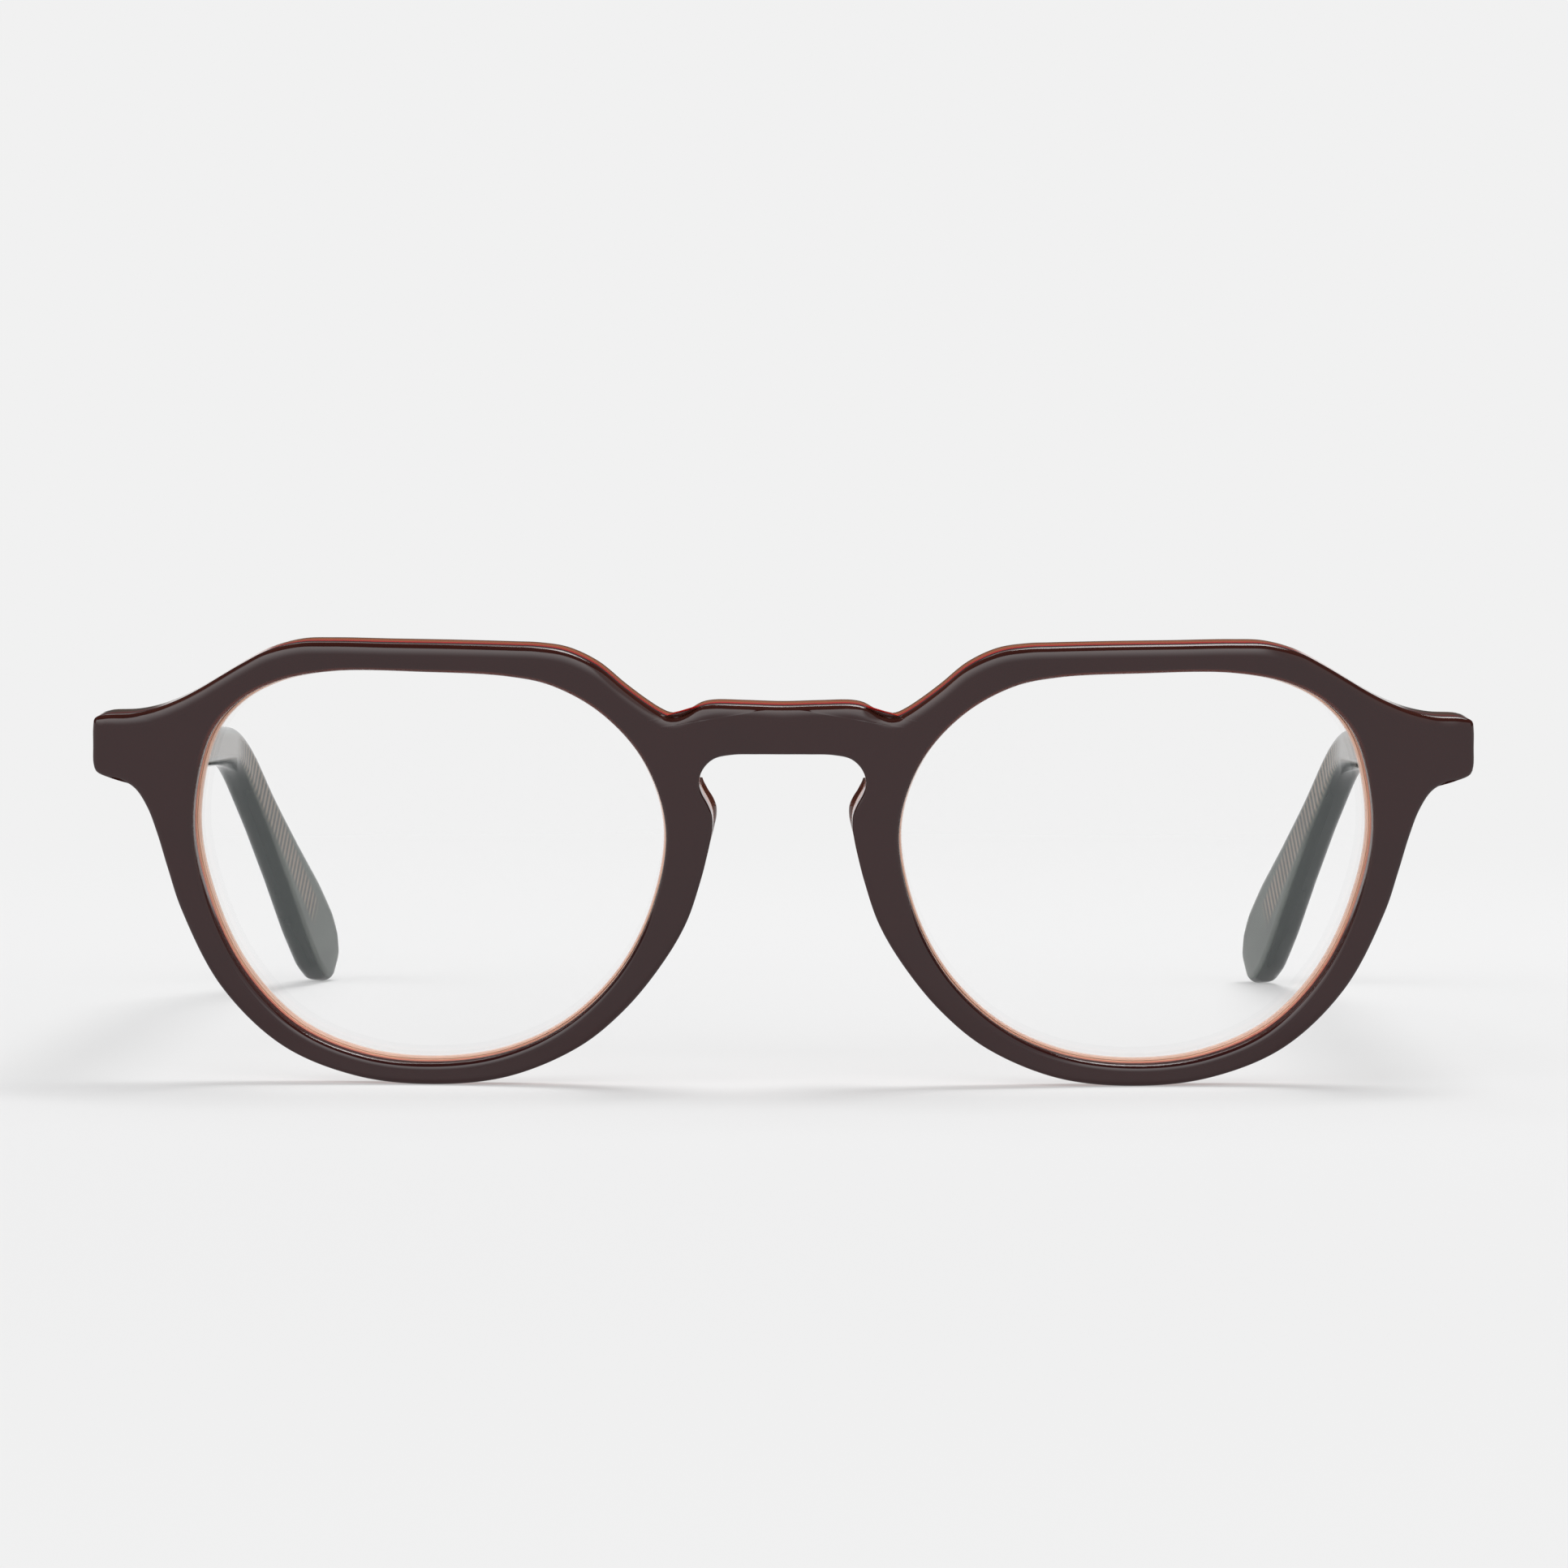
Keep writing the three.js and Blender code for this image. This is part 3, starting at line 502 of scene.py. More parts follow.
burgundy = {
    "face": fromScreen(40, 10, 11),
    # Painted light: the soft edge is drawn lighter and browner than the face
    "softEdge": fromScreen(60, 27, 19),
    "softReach": (0.05, 0.6),  # depths over which the soft edge turns to painted light, lighter and browner than the face
    "rearGlow": fromScreen(150, 28, 30),  # painted glow of red light showing through the thin edge
    "rearReach": (1.15, 1.45),
    "glow": fromScreen(104, 48, 38),  # light leaking through above the openings
    "glowShare": 0.7,
    "glowInward": (0.1, 0.45),  # from the opening, over which it ends
    "glowDepth": (0.3, 0.5),
    "glowHeight": (0.03, 0.038),  # above the floor, in metres, over which it starts
    "cloud": fromScreen(34, 8, 9),
    "cloudShare": 0.35,
    "cloudScale": 120.0,
    "roughness": 0.06,
    "marks": 0.02,
    "markHeight": 4e-6,
}


# Outer sheet: burgundy, with painted light: lighter and browner over its soft edge, a red glow at
# its back, and a glow above the openings
def burgundyMaterial():
    material, tree, shader = newMaterial("burgundyAcetate", IOR=acetateIndex)
    depth = valueOf(tree, "depth")
    colour = turnColour(tree, depth, burgundy["softReach"], burgundy["face"],
                        burgundy["softEdge"])
    colour = turnColour(tree, depth, burgundy["rearReach"], colour, burgundy["rearGlow"])
    near = oneMinus(tree, stepNode(tree, valueOf(tree, "inward"), burgundy["glowInward"]))
    shallow = oneMinus(tree, stepNode(tree, depth, burgundy["glowDepth"]))
    high = stepNode(tree, axesOf(tree)["Z"], burgundy["glowHeight"], most=burgundy["glowShare"])
    glow = product(tree, near, shallow, high)
    colour = mixColours(tree, glow, colour, burgundy["glow"])
    useCast(tree, shader, colour, burgundy)
    return material


peach = {
    # Painted glow round the openings, lightest towards the lens
    "opening": fromScreen(244, 216, 198),
    "openingGlowFront": fromScreen(240, 194, 166),
    "openingReach": (2.0, 2.7),  # depths between these two
    # The outline's wall runs from orange at the front to a painted shade at the back edge
    "rimFront": fromScreen(172, 98, 58),
    "shadedRimBack": fromScreen(74, 50, 30),
    "rimReach": (2.6, 3.7),
    "shadedRimEnd": fromScreen(62, 48, 34),
    "endReach": (0.05, 0.061),  # across, in metres, over which the painted shade on the endpieces grows
    "sideReach": (0.4, 0.9),  # side values between rim and opening
    "back": fromScreen(176, 108, 76),
    "backReach": (frontThickness - 0.25, frontThickness - 0.02),
    "backSides": ((0.02, 0.1), (0.9, 0.98)),  # side values where the back starts and ends
    "cloud": fromScreen(150, 92, 66),
    "cloudShare": 0.2,
    "cloudScale": 130.0,
    "roughness": 0.1,
    "marks": 0.03,
    "markHeight": 2e-5,
}


# Share of painted shade, which grows along the endpieces
def endShadeShare(tree):
    return stepNode(tree, mathNode(tree, "ABSOLUTE", axesOf(tree)["X"]), peach["endReach"])


# Back sheet: see-through peach. Round the openings it has a painted glow, its outline wall turns to
# a painted shade towards the back and along the endpieces, and over the dark sheets it looks brown.
def peachMaterial():
    material, tree, shader = newMaterial("peachAcetate", IOR=acetateIndex)
    depth, side = valueOf(tree, "depth"), valueOf(tree, "side")
    rim = turnColour(tree, depth, peach["rimReach"], peach["rimFront"], peach["shadedRimBack"])
    rim = mixColours(tree, endShadeShare(tree), rim, peach["shadedRimEnd"])
    opening = turnColour(tree, depth, peach["openingReach"], peach["openingGlowFront"],
                         peach["opening"])
    wall = turnColour(tree, side, peach["sideReach"], rim, opening)
    back = product(tree, stepNode(tree, depth, peach["backReach"]),
                   bandNode(tree, side, *peach["backSides"]))
    useCast(tree, shader, mixColours(tree, back, wall, peach["back"]), peach)
    return material


centre = {
    "rim": fromScreen(202, 40, 36),
    "opening": fromScreen(190, 120, 98),
    "cloud": fromScreen(160, 30, 24),
    "cloudShare": 0.3,
    "cloudScale": 160.0,
    "roughness": 0.1,
    "marks": 0.03,
    "markHeight": 2e-5,
}


# Centre sheet: crimson on the outline, with painted shade along the endpieces, and more orange
# round the openings
def crimsonMaterial():
    material, tree, shader = newMaterial("crimsonAcetate", IOR=acetateIndex)
    rim = mixColours(tree, endShadeShare(tree), centre["rim"], peach["shadedRimEnd"])
    useCast(tree, shader, mixColours(tree, valueOf(tree, "side"), rim, centre["opening"]), centre)
    return material


edges = {
    "softWidth": 1.7,  # of the soft edge along the top, into the face
    "softDrop": 0.85,
    "lowSoftness": 0.45,  # share of it elsewhere
    "softRows": (31, 34),  # outline rows between which it grows
    "lipWidth": 0.8,  # of the rounded edge of the openings, into the face
    "lipDrop": 0.6,
    "lipSteps": 10,
    "openingRound": 0.2,
    "backRound": 0.5,
    "roundSteps": 7,
    "seam": 0.004,
    "faceRows": 40,
    "faceCrowding": 1.7,  # power that draws these rows towards the outline
    "wallRows": 5,
    "farInward": 9.0,  # inward value of what lies away from the openings
    "outlineSteps": 8000,
    "cornerPasses": 5,
}


# Soft edge from the face to the wall: a quarter ellipse, as insets and depths
def softEdge(inset, drop, count):
    angle = np.linspace(0, math.pi / 2, count)
    return [(inset * (1 - math.sin(a)), drop * (1 - math.cos(a))) for a in angle]


# The same at the back, as a quarter circle from the wall to the back face
def backEdge(radius):
    return [(inset, frontThickness - drop)
            for inset, drop in softEdge(radius, radius, edges["roundSteps"])][::-1]


# Plain wall, as insets of 0 and depths
def wallSteps(low, high, count):
    return [(0, depth) for depth in np.linspace(low, high, count)]


# A sheet has a front and a back grid between the rings of opening and outline, and two walls.
# A face point is the opening's point moved by a share towards the outline's point. The side value
# falls from 1 at the opening to 0 at the outline, but not on the middle line, where the mirrored
# half goes on.
def sheetCloud(openingEdge, rimEdge):
    place, walled = stations["place"], stations["walled"]
    inner = [openingAt(place, out) for out, _ in openingEdge]
    outer = [rimRing(inset) for inset, _ in rimEdge]
    share = 0.5 - 0.5 * np.cos(np.linspace(0, math.pi, front["faceRings"]))
    share = np.sort(np.concatenate([share, front["edgeRings"]]))
    middle = np.minimum(stations["middle"], 1 - stations["middle"])
    away = np.maximum(1 - share[:, None], np.concatenate([np.zeros(walled), middle]))
    grids = []
    for end in (0, -1):
        part = share[:, None, None]
        flat = inner[end] * (1 - part) + outer[end] * part
        depth = openingEdge[end][1] * (1 - share) + rimEdge[end][1] * share
        depth = depth[:, None] + 0 * flat[..., 0]
        grids.append((bendFlat(flat, depth), np.stack([depth, away], -1), True))
    for rings, edge, side, wrap in ((inner, openingEdge, 1, True), (outer, rimEdge, 0, False)):
        flat = np.stack(rings)
        if not wrap:
            flat = flat[:, :walled]
        depth = np.array([d for _, d in edge])[:, None] + 0 * flat[..., 0]
        grids.append((bendFlat(flat, depth), np.stack([depth, side + 0 * depth], -1), wrap))
    return withMirror(gather(grids))


# Distance of flat points from the outline, to its nearest fine point and square to the curve,
# and the softness there
def outlineDistance(flat):
    row = np.linspace(0, len(rowPoints) - 1, edges["outlineSteps"])
    fine = rimAt(row, front["slack"])
    slope = np.gradient(fine, axis=0)
    across = (np.stack([slope[:, 1], -slope[:, 0]], -1)
              / np.linalg.norm(slope, axis=-1, keepdims=True))
    tree = KDTree(len(fine))
    for index, (x, z) in enumerate(fine):
        tree.insert((x, z, 0), index)
    tree.balance()
    points = flat.reshape(-1, 2)
    near = np.array([tree.find((x, z, 0))[1] for x, z in points])
    distance = np.abs(((points - fine[near]) * across[near]).sum(-1))
    softness = np.interp(row[near], edges["softRows"], (edges["lowSoftness"], 1))
    return distance.reshape(flat.shape[:-1]), softness.reshape(flat.shape[:-1])


# Depth of the front face: a quarter ellipse over the soft edge, averaged along the outline away
# from it so that corners stay smooth
def faceDepth(distance, softness):
    short = np.clip(1 - distance / edges["softWidth"] / softness, 0, 1)
    soft = edges["softDrop"] * softness * (1 - np.sqrt(1 - short ** 2))
    spread = soft
    for _ in range(edges["cornerPasses"]):
        spread = (np.roll(spread, 1, 1) + 2 * spread + np.roll(spread, -1, 1)) / 4
    inner = np.clip(distance / edges["softWidth"] * 2, 0, 1)
    return soft + (spread - soft) * inner * inner * (3 - 2 * inner)


outerBack = front["outerSheet"] + front["bondLine"] / 2
centreBack = outerBack + front["bondLine"] + front["centreSheet"]


# Outer sheet: face, lip and wall of the opening, wall of the outline, and back. The face's rows
# run from the outline to the lip, closer together near the outline.
def outerSheetCloud():
    place, walled = stations["place"], stations["walled"]
    opening, outline = openingAt(place, edges["lipWidth"]), rimRing(0)
    share = (np.linspace(0, 1, edges["faceRows"]) ** edges["faceCrowding"])[:, None, None]
    flat = outline + (opening - outline) * share
    distance, softness = outlineDistance(flat)
    distance[0, :walled] = 0
    depth = faceDepth(distance, softness)
    inward = edges["lipWidth"] + np.linalg.norm(flat - opening, axis=-1)
    grids = [(flat, depth, inward, True)]
    lip = softEdge(edges["lipWidth"], edges["lipDrop"], edges["lipSteps"])
    wall = np.array(lip + wallSteps(edges["lipDrop"], outerBack, 4)[1:])[:, :, None]
    flat = np.stack([openingAt(place, out) for out in wall[:, 0, 0]])
    inward = wall[:, 0] + 0 * flat[..., 0]
    grids.append((flat, wall[:, 1] + depth[-1] * (1 - wall[:, 1] / outerBack), inward, True))
    part = np.linspace(0, 1, edges["wallRows"])[:, None]
    flat = outline[None, :walled] + 0 * part[..., None]
    grids.append((flat, depth[0, :walled] * (1 - part) + outerBack * part,
                  edges["farInward"] + 0 * flat[..., 0], False))
    opening, share = openingAt(place, 0), np.linspace(0, 1, front["faceRings"])[:, None, None]
    flat = outline + (opening - outline) * share
    grids.append((flat, outerBack + 0 * flat[..., 0], edges["farInward"] + 0 * flat[..., 0], True))
    return withMirror(gather([(bendFlat(flat, depth), np.stack([depth, inward], -1), wrap)
                              for flat, depth, inward, wrap in grids]))


makePiece("outerSheet", outerSheetCloud(), ("depth", "inward"), burgundyMaterial(), "front",
          "front_outer_sheet")

centreWall = wallSteps(outerBack + edges["seam"], centreBack, 3)
makePiece("centreSheet", sheetCloud(centreWall, centreWall), ("depth", "side"),
          crimsonMaterial(), "front", "front_centre_sheet")

backFront = centreBack + edges["seam"]
mouth = front["bevelHalf"] + front["lensClearance"]
grooveEdge = (wallSteps(backFront, lensDepth - mouth, 2)
              + [(front["grooveReach"] + front["lensClearance"], lensDepth),
                 (0, lensDepth + mouth)])
backWall = wallSteps(backFront, frontThickness - edges["backRound"], 4)[:-1]
makePiece("backSheet",
          sheetCloud(grooveEdge + backEdge(edges["openingRound"]),
                     backWall + backEdge(edges["backRound"])),
          ("depth", "side"), peachMaterial(), "front", "front_back_sheet")

lens = {
    "thickness": 1.5,
    "dome": 1.2,
    "shoulderGap": 0.04,
    "rings": 26,
    "ringAngle": 1.4,  # rings are spaced by the sine up to it, closer together near the edge
    "edgeShares": [(0.988, 0.0), (0.991, 0.5), (0.994, 0.9), (1.0, 1.0)],  # place, frosting
    "tint": (1.0, 1.0, 1.0, 1.0),
    # Painted reflection of the peach groove on the frosted edge, from front to back
    "grooveReflectionFront": fromScreen(224, 190, 170),
    "grooveReflectionBack": fromScreen(228, 202, 186),
    "edgeReach": (lensDepth - 0.6, lensDepth + 0.6),
    "index": 1.5,
    "shine": 0.1,  # coated against reflections
}


# Clear lens. Its edge is frosted, and carries a painted reflection of the peach groove that it sits
# in. Shadows and soft light pass through the clear part unbent.
def lensMaterial():
    material, tree, shader = newMaterial("clearLens", Roughness=0.0, IOR=lens["index"],
                                         Specular_IOR_Level=lens["shine"])
    edge = valueOf(tree, "edge")
    grooveReflection = turnColour(tree, valueOf(tree, "depth"), lens["edgeReach"], lens["grooveReflectionFront"],
                            lens["grooveReflectionBack"])
    clear = oneMinus(tree, edge)
    feed(tree, mixColours(tree, edge, lens["tint"], grooveReflection), shader.inputs["Base Color"])
    feed(tree, clear, shader.inputs["Transmission Weight"])
    unbent = addNode(tree, "ShaderNodeBsdfTransparent", Color=lens["tint"])
    path = addNode(tree, "ShaderNodeLightPath").outputs
    passing = mathNode(tree, "ADD", path["Is Shadow Ray"], path["Is Diffuse Ray"], clamp=True)
    mixShaders(tree, product(tree, passing, clear), shader, unbent)
    return material


# Lens: rings shrink towards the middle, and depth falls with the square of their share, alike on
# both faces. The bevel's edge lies between two shoulders.
def lensCloud():
    place = stations["place"]
    middle = np.array([noseHalf + openingWidth / 2, front["rimWidth"] + openingHeight / 2])
    shoulder = openingAt(place, -lens["shoulderGap"])
    angles = np.linspace(0, lens["ringAngle"], lens["rings"])
    share, frost = np.vstack([[(math.sin(a), 0) for a in angles], lens["edgeShares"]]).T
    share = share[:, None]
    flat = middle + (shoulder - middle) * share[..., None]
    half = lens["thickness"] / 2
    rings = []
    for side in (-1, 1):
        depth = lensDepth + side * half - lens["dome"] * (1 - share ** 2) + 0 * flat[..., 0]
        rings.append(bendFlat(flat, depth))
    edge = [rings[0][-1]]
    for out, depth in ((-lens["shoulderGap"], -front["bevelHalf"]), (front["grooveReach"], 0),
                       (-lens["shoulderGap"], front["bevelHalf"])):
        flat = openingAt(place, out)
        edge.append(bendFlat(flat, np.full(len(flat), lensDepth + depth)))
    edge.append(rings[1][-1])
    edgeDepth = lensDepth + np.array([-half, -front["bevelHalf"], 0, front["bevelHalf"], half])
    value = np.stack([1 + 0 * edgeDepth, edgeDepth], -1)[:, None]
    face, back = (np.stack([frost[:, None], lensDepth + side * half + 0 * share], -1)
                  for side in (-1, 1))
    return gather([(rings[0], face, True), (np.stack(edge), value, True),
                   (rings[1][::-1], back[::-1], True)])


clearFinish = lensMaterial()
lensGrid = lensCloud()
makePiece("lensLeft", lensGrid, ("edge", "depth"), clearFinish, "front",
          "lens_left")
makePiece("lensRight", mirroredCloud(lensGrid), ("edge", "depth"), clearFinish, "front",
          "lens_right")

pad = {
    "depth": 4.2,
    "bond": 0.01,
    "bulgeReach": 0.15,
    "widthShare": 0.8,
    "flareShare": 0.4,
    "places": (14.42, 16.3),
    "rowStations": 60,
    "rowShares": [  # share of the length, depth, bulge towards the nose
        (0, 0.22, 0.1), (0.07, 0.5, 0.7), (0.15, 0.7, 1.0), (0.26, 0.88, 0.5), (0.40, 1, -0.3),
        (0.56, 0.96, -0.8), (0.72, 0.8, -0.9), (0.87, 0.54, -0.6), (1, 0.22, -0.3),
    ],
    "sectionStations": 40,
    "sectionShares": [  # across the width and depth, from the nose side to the opening side
        (0.04, 0), (-0.02, 0.34), (0.03, 0.62), (0.20, 0.88), (0.46, 1.0), (0.72, 0.86),
        (0.90, 0.5), (0.97, 0),
    ],
    "nose": fromScreen(78, 38, 28),
    # Painted glow: lighter towards the thin crest
    "rearGlow": fromScreen(140, 84, 60),
    "rearStart": 0.6,  # above the sheet, where the painted glow starts
    "cloud": peach["cloud"],
    "cloudShare": 0.2,
    "cloudScale": 130.0,
    "roughness": 0.08,
    "marks": 0.02,
    "markHeight": 4e-6,
}


# Nose pad: at each place along the keyhole's flank, a section hangs between the flank and the
# opening, as deep as its row says, and leans towards the nose by a quarter sine of its depth
def padCloud():
    share = np.linspace(0, 1, pad["rowStations"])
    table = np.array(pad["rowShares"])
    knots = curveAt(table, np.interp(share, table[:, 0], np.arange(len(table))))
    rise, bulge = knots[:, 1:2], knots[:, 2:3]
    place = pad["places"][0] + share * (pad["places"][1] - pad["places"][0])
    nose = rimAt(np.interp(place, rowPlaces, np.arange(len(rowPlaces))), edges["backRound"])
    lensSide = nose + (openingAt(place, edges["openingRound"]) - nose) * pad["widthShare"]
    section = curveAt(pad["sectionShares"],
                      np.linspace(0, len(pad["sectionShares"]) - 1, pad["sectionStations"]))
    across, deep = section[None, :, 0], np.maximum(section[None, :, 1], 0)
    flat = nose[:, None] + (lensSide - nose)[:, None] * across[..., None]
    flare = np.sin(np.minimum(1, deep / pad["flareShare"]) * math.pi / 2)
    lean = (edges["backRound"] + pad["bulgeReach"] * bulge) * flare * (1 - across)
    depth = frontThickness + pad["bond"] + deep * rise * pad["depth"]
    points = bendFront(flat[..., 0] - lean, depth, flat[..., 1])
    value = depth[..., None]
    ends = [(np.stack([end, np.broadcast_to(end.mean(0), end.shape)]), np.stack([v, v]), True)
            for end, v in ((points[0], value[0]), (points[-1], value[-1]))]
    return gather([(points, value, True)] + ends)


# Pad acetate: brown at the front, with a painted glow of light through the thin acetate towards
# its crest
def padMaterial():
    material, tree, shader = newMaterial("padAcetate", IOR=acetateIndex)
    crest = (frontThickness + pad["rearStart"], frontThickness + pad["depth"])
    useCast(tree, shader, turnColour(tree, valueOf(tree, "depth"), crest, pad["nose"], pad["rearGlow"]),
            pad)
    return material


padGrid = padCloud()
padFinish = padMaterial()
makePiece("padLeft", padGrid, ("depth",), padFinish, "front", "nose_pad_left")
makePiece("padRight", mirroredCloud(padGrid), ("depth",), padFinish, "front",
          "nose_pad_right")

temple = {
    "length": 145.0,
    "slack": 0.33,
    "lift": 0.1,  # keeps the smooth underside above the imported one
    "shaftLength": 98.0,
    "height": 5.6,
    "drop": 0.35,
    "edgeRadius": 0.9,
    "tipEdgeRadius": 1.6,
    "edgeLimitShare": 0.42,
    "bendLength": 17.0,
    "bendAngle": 34.2,
    "tipInwardAngle": 14.3,
    "shaftInwardAngle": 1.1,
    "pantoscopicAngle": 10.75,
    "closing": 0.5,  # rounds off the very tip
    "shares": [  # place along it, height and thickness
        (0, 1, 1), (0.10, 1, 0.98), (0.28, 0.95, 0.94), (0.46, 0.87, 0.90), (0.60, 0.77, 0.88),
        (0.68, 0.80, 0.87), (0.76, 0.91, 0.86), (0.84, 1.17, 0.85), (0.875, 1.35, 0.85),
        (0.91, 1.52, 0.84), (0.95, 1.56, 0.83), (0.975, 1.36, 0.80), (0.99, 0.95, 0.74),
        (0.997, 0.54, 0.60), (1, 0.24, 0.36),
    ],
    "pathSteps": 2900,
    "rings": 240,
    "tipRings": 39,  # over the last stretch, closer together towards the tip
    "tipLength": 8.0,
    "cornerSteps": 9,
    "sideShares": (0.02, 0.35, 0.65, 0.98),  # of each flat side, where it has points
    "green": fromScreen(9, 25, 23),
    "paintedSheen": fromScreen(116, 124, 117),  # painted reflection of the pale room over the flat sides
    "sheenShare": 0.5,
    "flatReach": (0.8, 0.97),  # of half the thickness, over which the flat sides start
    "rib": fromScreen(150, 132, 118),
    "ribShade": fromScreen(58, 62, 58),
    "ribShare": 0.75,
    "ribPitch": 1.25,
    "ribSlant": 0.18,
    "ribReach": (-0.7, 0.8),  # of the wave, from shade to rib
    "wireReach": (1.0, 1.9),  # up from the middle line, over which the wire ends
    "wireEnds": ((2.5, 4.0), (130.0, 134.0)),  # along the temple
    "shine": 0.1,
    "cloud": fromScreen(8, 20, 19),
    "cloudShare": 0.25,
    "cloudScale": 110.0,
    "roughness": 0.1,
    "marks": 0.012,
    "markHeight": 5e-6,
}


# Direction of the temple: down by the lean, then further through the bend, and inward, both by a
# smooth step
def templeDirection(along):
    start = temple["shaftLength"] - temple["bendLength"] / 2
    part = np.clip((along - start) / temple["bendLength"], 0, 1)
    part = part * part * (3 - 2 * part)
    down = np.radians(temple["pantoscopicAngle"] + temple["bendAngle"] * part)
    inward = np.radians(temple["shaftInwardAngle"] * (1 - part) + temple["tipInwardAngle"] * part)
    return np.stack([-np.sin(inward) * np.cos(down), np.cos(inward) * np.cos(down),
                     -np.sin(down)], -1)


# Temple's section at each place: four quarter circles with points on the flat sides between them
def templeSection(height, thickness, radius):
    corners = []
    for a, u, turn in ((1, 1, 0), (-1, 1, 1), (-1, -1, 2), (1, -1, 3)):
        angle = (turn + np.linspace(0, 1, temple["cornerSteps"])) * math.pi / 2
        x = a * (thickness / 2 - radius)[:, None] + radius[:, None] * np.cos(angle)
        z = u * (height / 2 - radius)[:, None] + radius[:, None] * np.sin(angle)
        corners.append(np.stack([x, z], -1))
    section = []
    for ring, after in zip(corners, corners[1:] + corners[:1]):
        section.append(ring)
        section += [ring[:, -1:] * (1 - share) + after[:, :1] * share
                    for share in temple["sideShares"]]
    return np.concatenate(section, 1)


# Temple: a rounded rectangle carried along the path, whose height and thickness follow the table.
# Its first ring is slid onto a plane parallel to the back of the endpiece.
def templeCloud():
    length = temple["length"]
    end = length - temple["slack"]
    shaft = np.linspace(0, end - temple["tipLength"], temple["rings"])
    tipAngle = np.linspace(0, math.pi / 2, temple["tipRings"] + 1)[1:]
    along = np.concatenate([shaft, end - temple["tipLength"] * np.cos(tipAngle)])
    fine = np.linspace(0, length, temple["pathSteps"] + 1)
    steps = templeDirection((fine[1:] + fine[:-1]) / 2) * (fine[1] - fine[0])
    start = np.array([frontHalf - hinge["outerSetback"] - hinge["templeThickness"] / 2,
                      endBack[1], endBack[2]])
    start[1] += (start[0] - endBack[0]) * -endNormal[0] / endNormal[1] + hinge["buttGap"]
    start[2] += temple["lift"] - temple["drop"]
    path = start + np.vstack([np.zeros(3), np.cumsum(steps, 0)])
    centreLine = np.stack([np.interp(along, fine, path[:, k]) for k in range(3)], -1)
    forward = templeDirection(along)
    across = np.stack([forward[:, 1], -forward[:, 0], 0 * along], -1)
    across /= np.linalg.norm(across, axis=-1, keepdims=True)
    up = np.cross(across, forward)
    table = np.array(temple["shares"])
    knots = curveAt(table, np.interp(along / length, table[:, 0], np.arange(len(table))))
    closing = np.clip((along - end + temple["closing"]) / temple["closing"], 0, 1)
    closing = np.sqrt(1 - closing ** 2)
    height = knots[:, 1] * temple["height"] * closing
    thickness = knots[:, 2] * hinge["templeThickness"] * closing
    softness = (temple["edgeRadius"]
                + (temple["tipEdgeRadius"] - temple["edgeRadius"]) * along / length)
    radius = np.minimum(softness, temple["edgeLimitShare"] * np.minimum(height, thickness))
    section = templeSection(height, thickness, radius)
    points = (centreLine[:, None] + across[:, None] * section[..., :1]
              + up[:, None] * section[..., 1:])
    butt = points[0]
    slide = (hinge["buttGap"] - (butt - endBack) @ endNormal) / (forward[0] @ endNormal)
    points[0] = butt + slide[:, None] * forward[0]
    broad = section[..., 0] / np.maximum(thickness[:, None] / 2, 1e-6)
    value = np.stack([along[:, None] + 0 * broad, section[..., 1], broad], -1)
    first = (np.stack([points[0], np.broadcast_to(points[0].mean(0), points[0].shape)]),
             np.stack([value[0], value[0]]), True)
    return gather([(points, value, True), first])


# Green acetate: clear enough to show the ribbed wire behind the flat sides. The ribs are a sine
# of the place along the temple plus a slant times the height.
def greenMaterial():
    material, tree, shader = newMaterial("greenAcetate", IOR=acetateIndex,
                                         Specular_IOR_Level=temple["shine"])
    along, upward, broad = (valueOf(tree, name) for name in ("along", "upward", "broad"))
    slanted = mathNode(tree, "MULTIPLY_ADD", upward, temple["ribSlant"], along)
    wave = mathNode(tree, "SINE", product(tree, slanted, 2 * math.pi / temple["ribPitch"]))
    ribs = turnColour(tree, wave, temple["ribReach"], temple["ribShade"], temple["rib"])
    height = mathNode(tree, "ABSOLUTE", upward)
    wire = oneMinus(tree, stepNode(tree, height, temple["wireReach"]))
    flatSide = stepNode(tree, mathNode(tree, "ABSOLUTE", broad), temple["flatReach"])
    mask = product(tree, wire, flatSide, bandNode(tree, along, *temple["wireEnds"]),
                   temple["ribShare"])
    # Painted reflection: a pale sheen over the flat sides
    base = mixColours(tree, product(tree, flatSide, temple["sheenShare"]), temple["green"],
                      temple["paintedSheen"])
    useCast(tree, shader, mixColours(tree, mask, base, ribs), temple)
    return material


templeGrid = templeCloud()
greenFinish = greenMaterial()
for side, cloud in (("left", templeGrid), ("right", mirroredCloud(templeGrid))):
    makePiece("temple" + side.capitalize(), cloud, ("along", "upward", "broad"), greenFinish,
              "temple_" + side, "temple_" + side)

metal = {
    "steel": {"tone": fromScreen(206, 207, 206), "cloud": fromScreen(170, 172, 172),
              "roughness": 0.2},
    "wire": {"tone": fromScreen(205, 170, 148), "cloud": fromScreen(150, 116, 96),
             "roughness": 0.28},
    "brushing": {"cloudShare": 0.6, "cloudScale": 700.0, "marks": 0.12, "markHeight": 1e-5},
}


# Metal: a bright and a worn tone in fine clouds, with brushing across them
def metalMaterial(name, kind):
    material, tree, shader = newMaterial(name, Metallic=1.0)
    useCast(tree, shader, metal[kind]["tone"], {**metal[kind], **metal["brushing"]})
    return material


steelFinish = metalMaterial("hingeSteel", "steel")
wireFinish = metalMaterial("coreWire", "wire")
for name, node in frame["nodes"].items():
    finish = steelFinish if "hinge" in name else wireFinish if "wire" in name else None
    if finish:
        node.data.materials.clear()
        node.data.materials.append(finish)
print("finished the metal pieces")

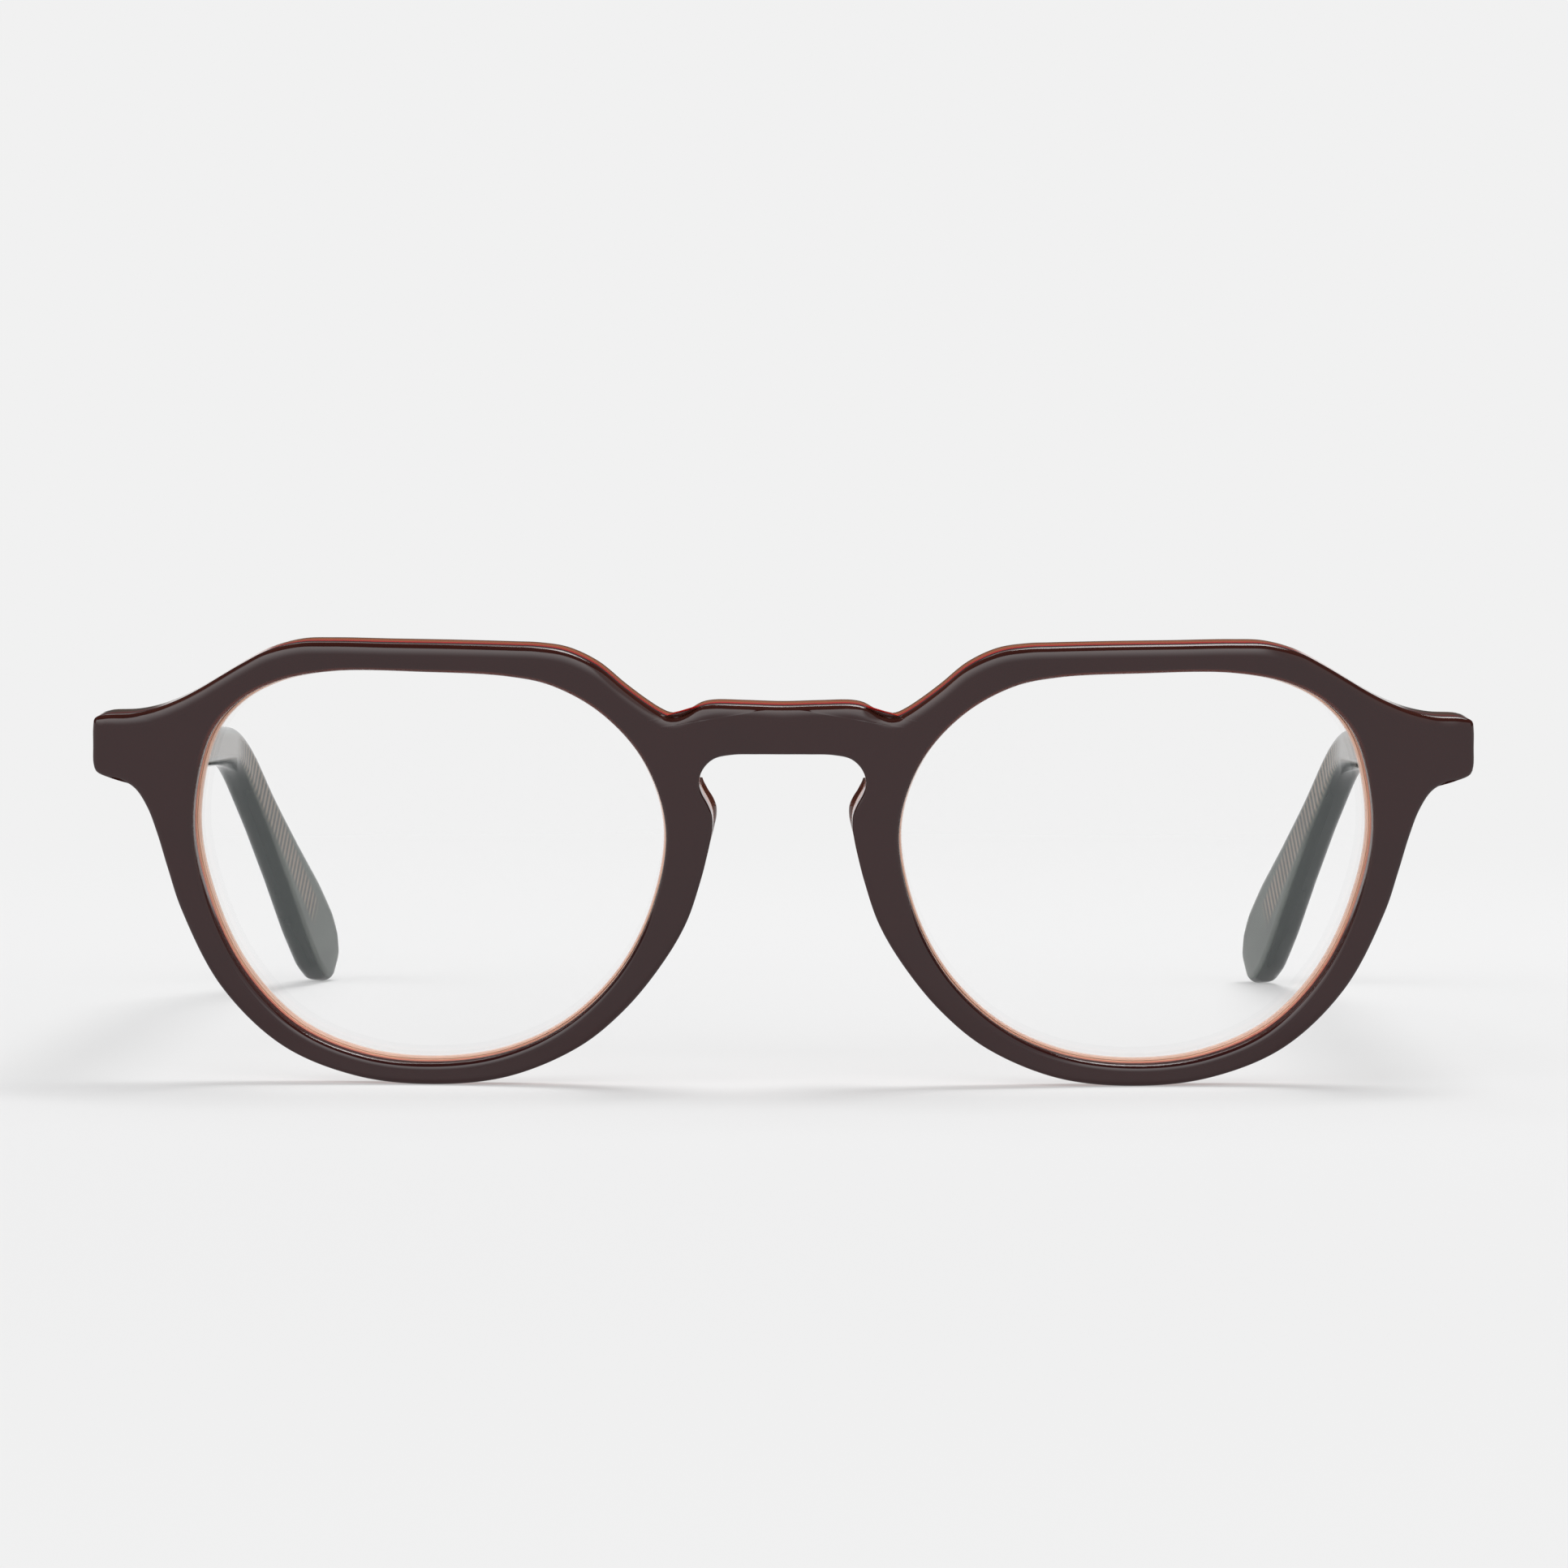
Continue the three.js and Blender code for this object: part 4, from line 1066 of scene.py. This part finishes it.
studio = {
    "pale": fromScreen(241, 241, 241),
    "dim": fromScreen(84, 84, 86),
    "horizon": (0.085, 0.15),  # heights, as shares of straight up, from pale to dim
    "glow": (3.0, 3.0, 3.0, 1.0),  # light in front, above the camera
    "glowRise": (0.0, 0.62),
    "glowTop": (0.64, 0.7),
    "glowRight": (0.3, 0.46),  # to the right, over which it ends
    "glowFront": (0.2, 0.5),  # towards the front, over which it begins
    "floorColour": fromScreen(232, 232, 232),
    "floorHalf": 30.0,
    "plainShare": 0.42,  # of the plain colour beside the glasses
    "plainReach": (0.1, 0.4),  # from the middle, over which it grows to 1
}


# Floor: lit near the glasses, where it takes a part of their shadow, and the plain background
# colour further out
def makeFloor():
    half = studio["floorHalf"]
    mesh = bpy.data.meshes.new("floor")
    mesh.from_pydata([(-half, -half, 0), (half, -half, 0), (half, half, 0), (-half, half, 0)],
                     [], [(0, 1, 2, 3)])
    floor = bpy.data.objects.new("floor", mesh)
    bpy.context.scene.collection.objects.link(floor)
    material, tree, shader = newMaterial("floorPaper", Base_Color=studio["floorColour"],
                                         Roughness=1.0, Specular_IOR_Level=0.0)
    place = addNode(tree, "ShaderNodeTexCoord").outputs["Object"]
    distance = addNode(tree, "ShaderNodeVectorMath", operation="LENGTH")
    feed(tree, place, distance.inputs[0])
    plain = stepNode(tree, distance.outputs["Value"], studio["plainReach"],
                     least=studio["plainShare"])
    mixShaders(tree, plain, shader, addNode(tree, "ShaderNodeEmission", Color=studio["pale"]))
    mesh.materials.append(material)


# Room: pale to a little above the horizon, and dim above, where the lamps hang. In front the
# light grows upward to a sharp edge, as under a large lamp, which the polished edges mirror as a
# soft band. The lamp ends on the right.
def makeRoom():
    world = bpy.data.worlds.new("studio")
    bpy.context.scene.world = world
    world.use_nodes = True
    tree = world.node_tree
    tree.nodes.clear()
    way = axesOf(tree, "Generated")
    pale, dim = studio["pale"], studio["dim"]
    plain = turnColour(tree, way["Z"], studio["horizon"], pale, dim)
    lit = turnColour(tree, way["Z"], studio["glowRise"], pale, studio["glow"])
    lit = turnColour(tree, way["X"], studio["glowRight"], lit, pale)
    lit = turnColour(tree, way["Z"], studio["glowTop"], lit, dim)
    colour = turnColour(tree, product(tree, way["Y"], -1.0), studio["glowFront"], plain, lit)
    light = addNode(tree, "ShaderNodeBackground", Color=colour)
    addNode(tree, "ShaderNodeOutputWorld", Surface=light.outputs[0])


lamps = {  # place, aim, width, depth, watts
    "back": ((0.0, 2.0, 3.0), (0.0, 0.0, 0.02), 2.6, 1.8, 26.0),
    "key": ((0.38, 0.36, 2.0), (0.0, 0.0, 0.0), 0.95, 0.95, 25.5),
}


# Placed, turned to face its target, and then rolled about its own line of sight
def aim(thing, place, target, roll=0.0):
    way = Vector(target) - Vector(place)
    turn = way.to_track_quat("-Z", "Y").to_matrix().to_4x4()
    thing.matrix_world = Matrix.Translation(place) @ turn @ Matrix.Rotation(roll, 4, "Z")


def makeLamps():
    for name, (place, target, width, depth, watts) in lamps.items():
        data = bpy.data.lights.new(name, "AREA")
        data.shape = "RECTANGLE"
        data.size, data.size_y, data.energy = width, depth, watts
        lamp = bpy.data.objects.new(name, data)
        bpy.context.scene.collection.objects.link(lamp)
        aim(lamp, place, target)


view = {
    "distance": 640.0,  # from the front's foot, in millimetres
    "height": 60.2,
    "aside": 4.4,
    "pitch": 2.649,
    "yaw": -0.383,
    "roll": 0.11,
    "lens": 147.84,
    "sensor": 36.0,
    "nearest": 0.01,
}


# Camera at the front's foot plus its distance and height, looking down by the pitch
def makeCamera():
    foot = standShift + turned(np.zeros(3))
    place = np.array([view["aside"], foot[1] - view["distance"], foot[2] + view["height"]])
    place = place * millimetre
    pitch, yaw = math.radians(view["pitch"]), math.radians(view["yaw"])
    way = np.array([math.sin(yaw) * math.cos(pitch), math.cos(yaw) * math.cos(pitch),
                    -math.sin(pitch)])
    data = bpy.data.cameras.new("photoCamera")
    data.sensor_width = view["sensor"]
    data.lens = view["lens"]
    data.clip_start = view["nearest"]
    camera = bpy.data.objects.new("photoCamera", data)
    bpy.context.scene.collection.objects.link(camera)
    aim(camera, place.tolist(), (place + way).tolist(), math.radians(view["roll"]))
    bpy.context.scene.camera = camera


makeFloor()
makeRoom()
makeLamps()
makeCamera()
bpy.context.scene.view_settings.view_transform = "Standard"
print("lit the studio and set the camera")
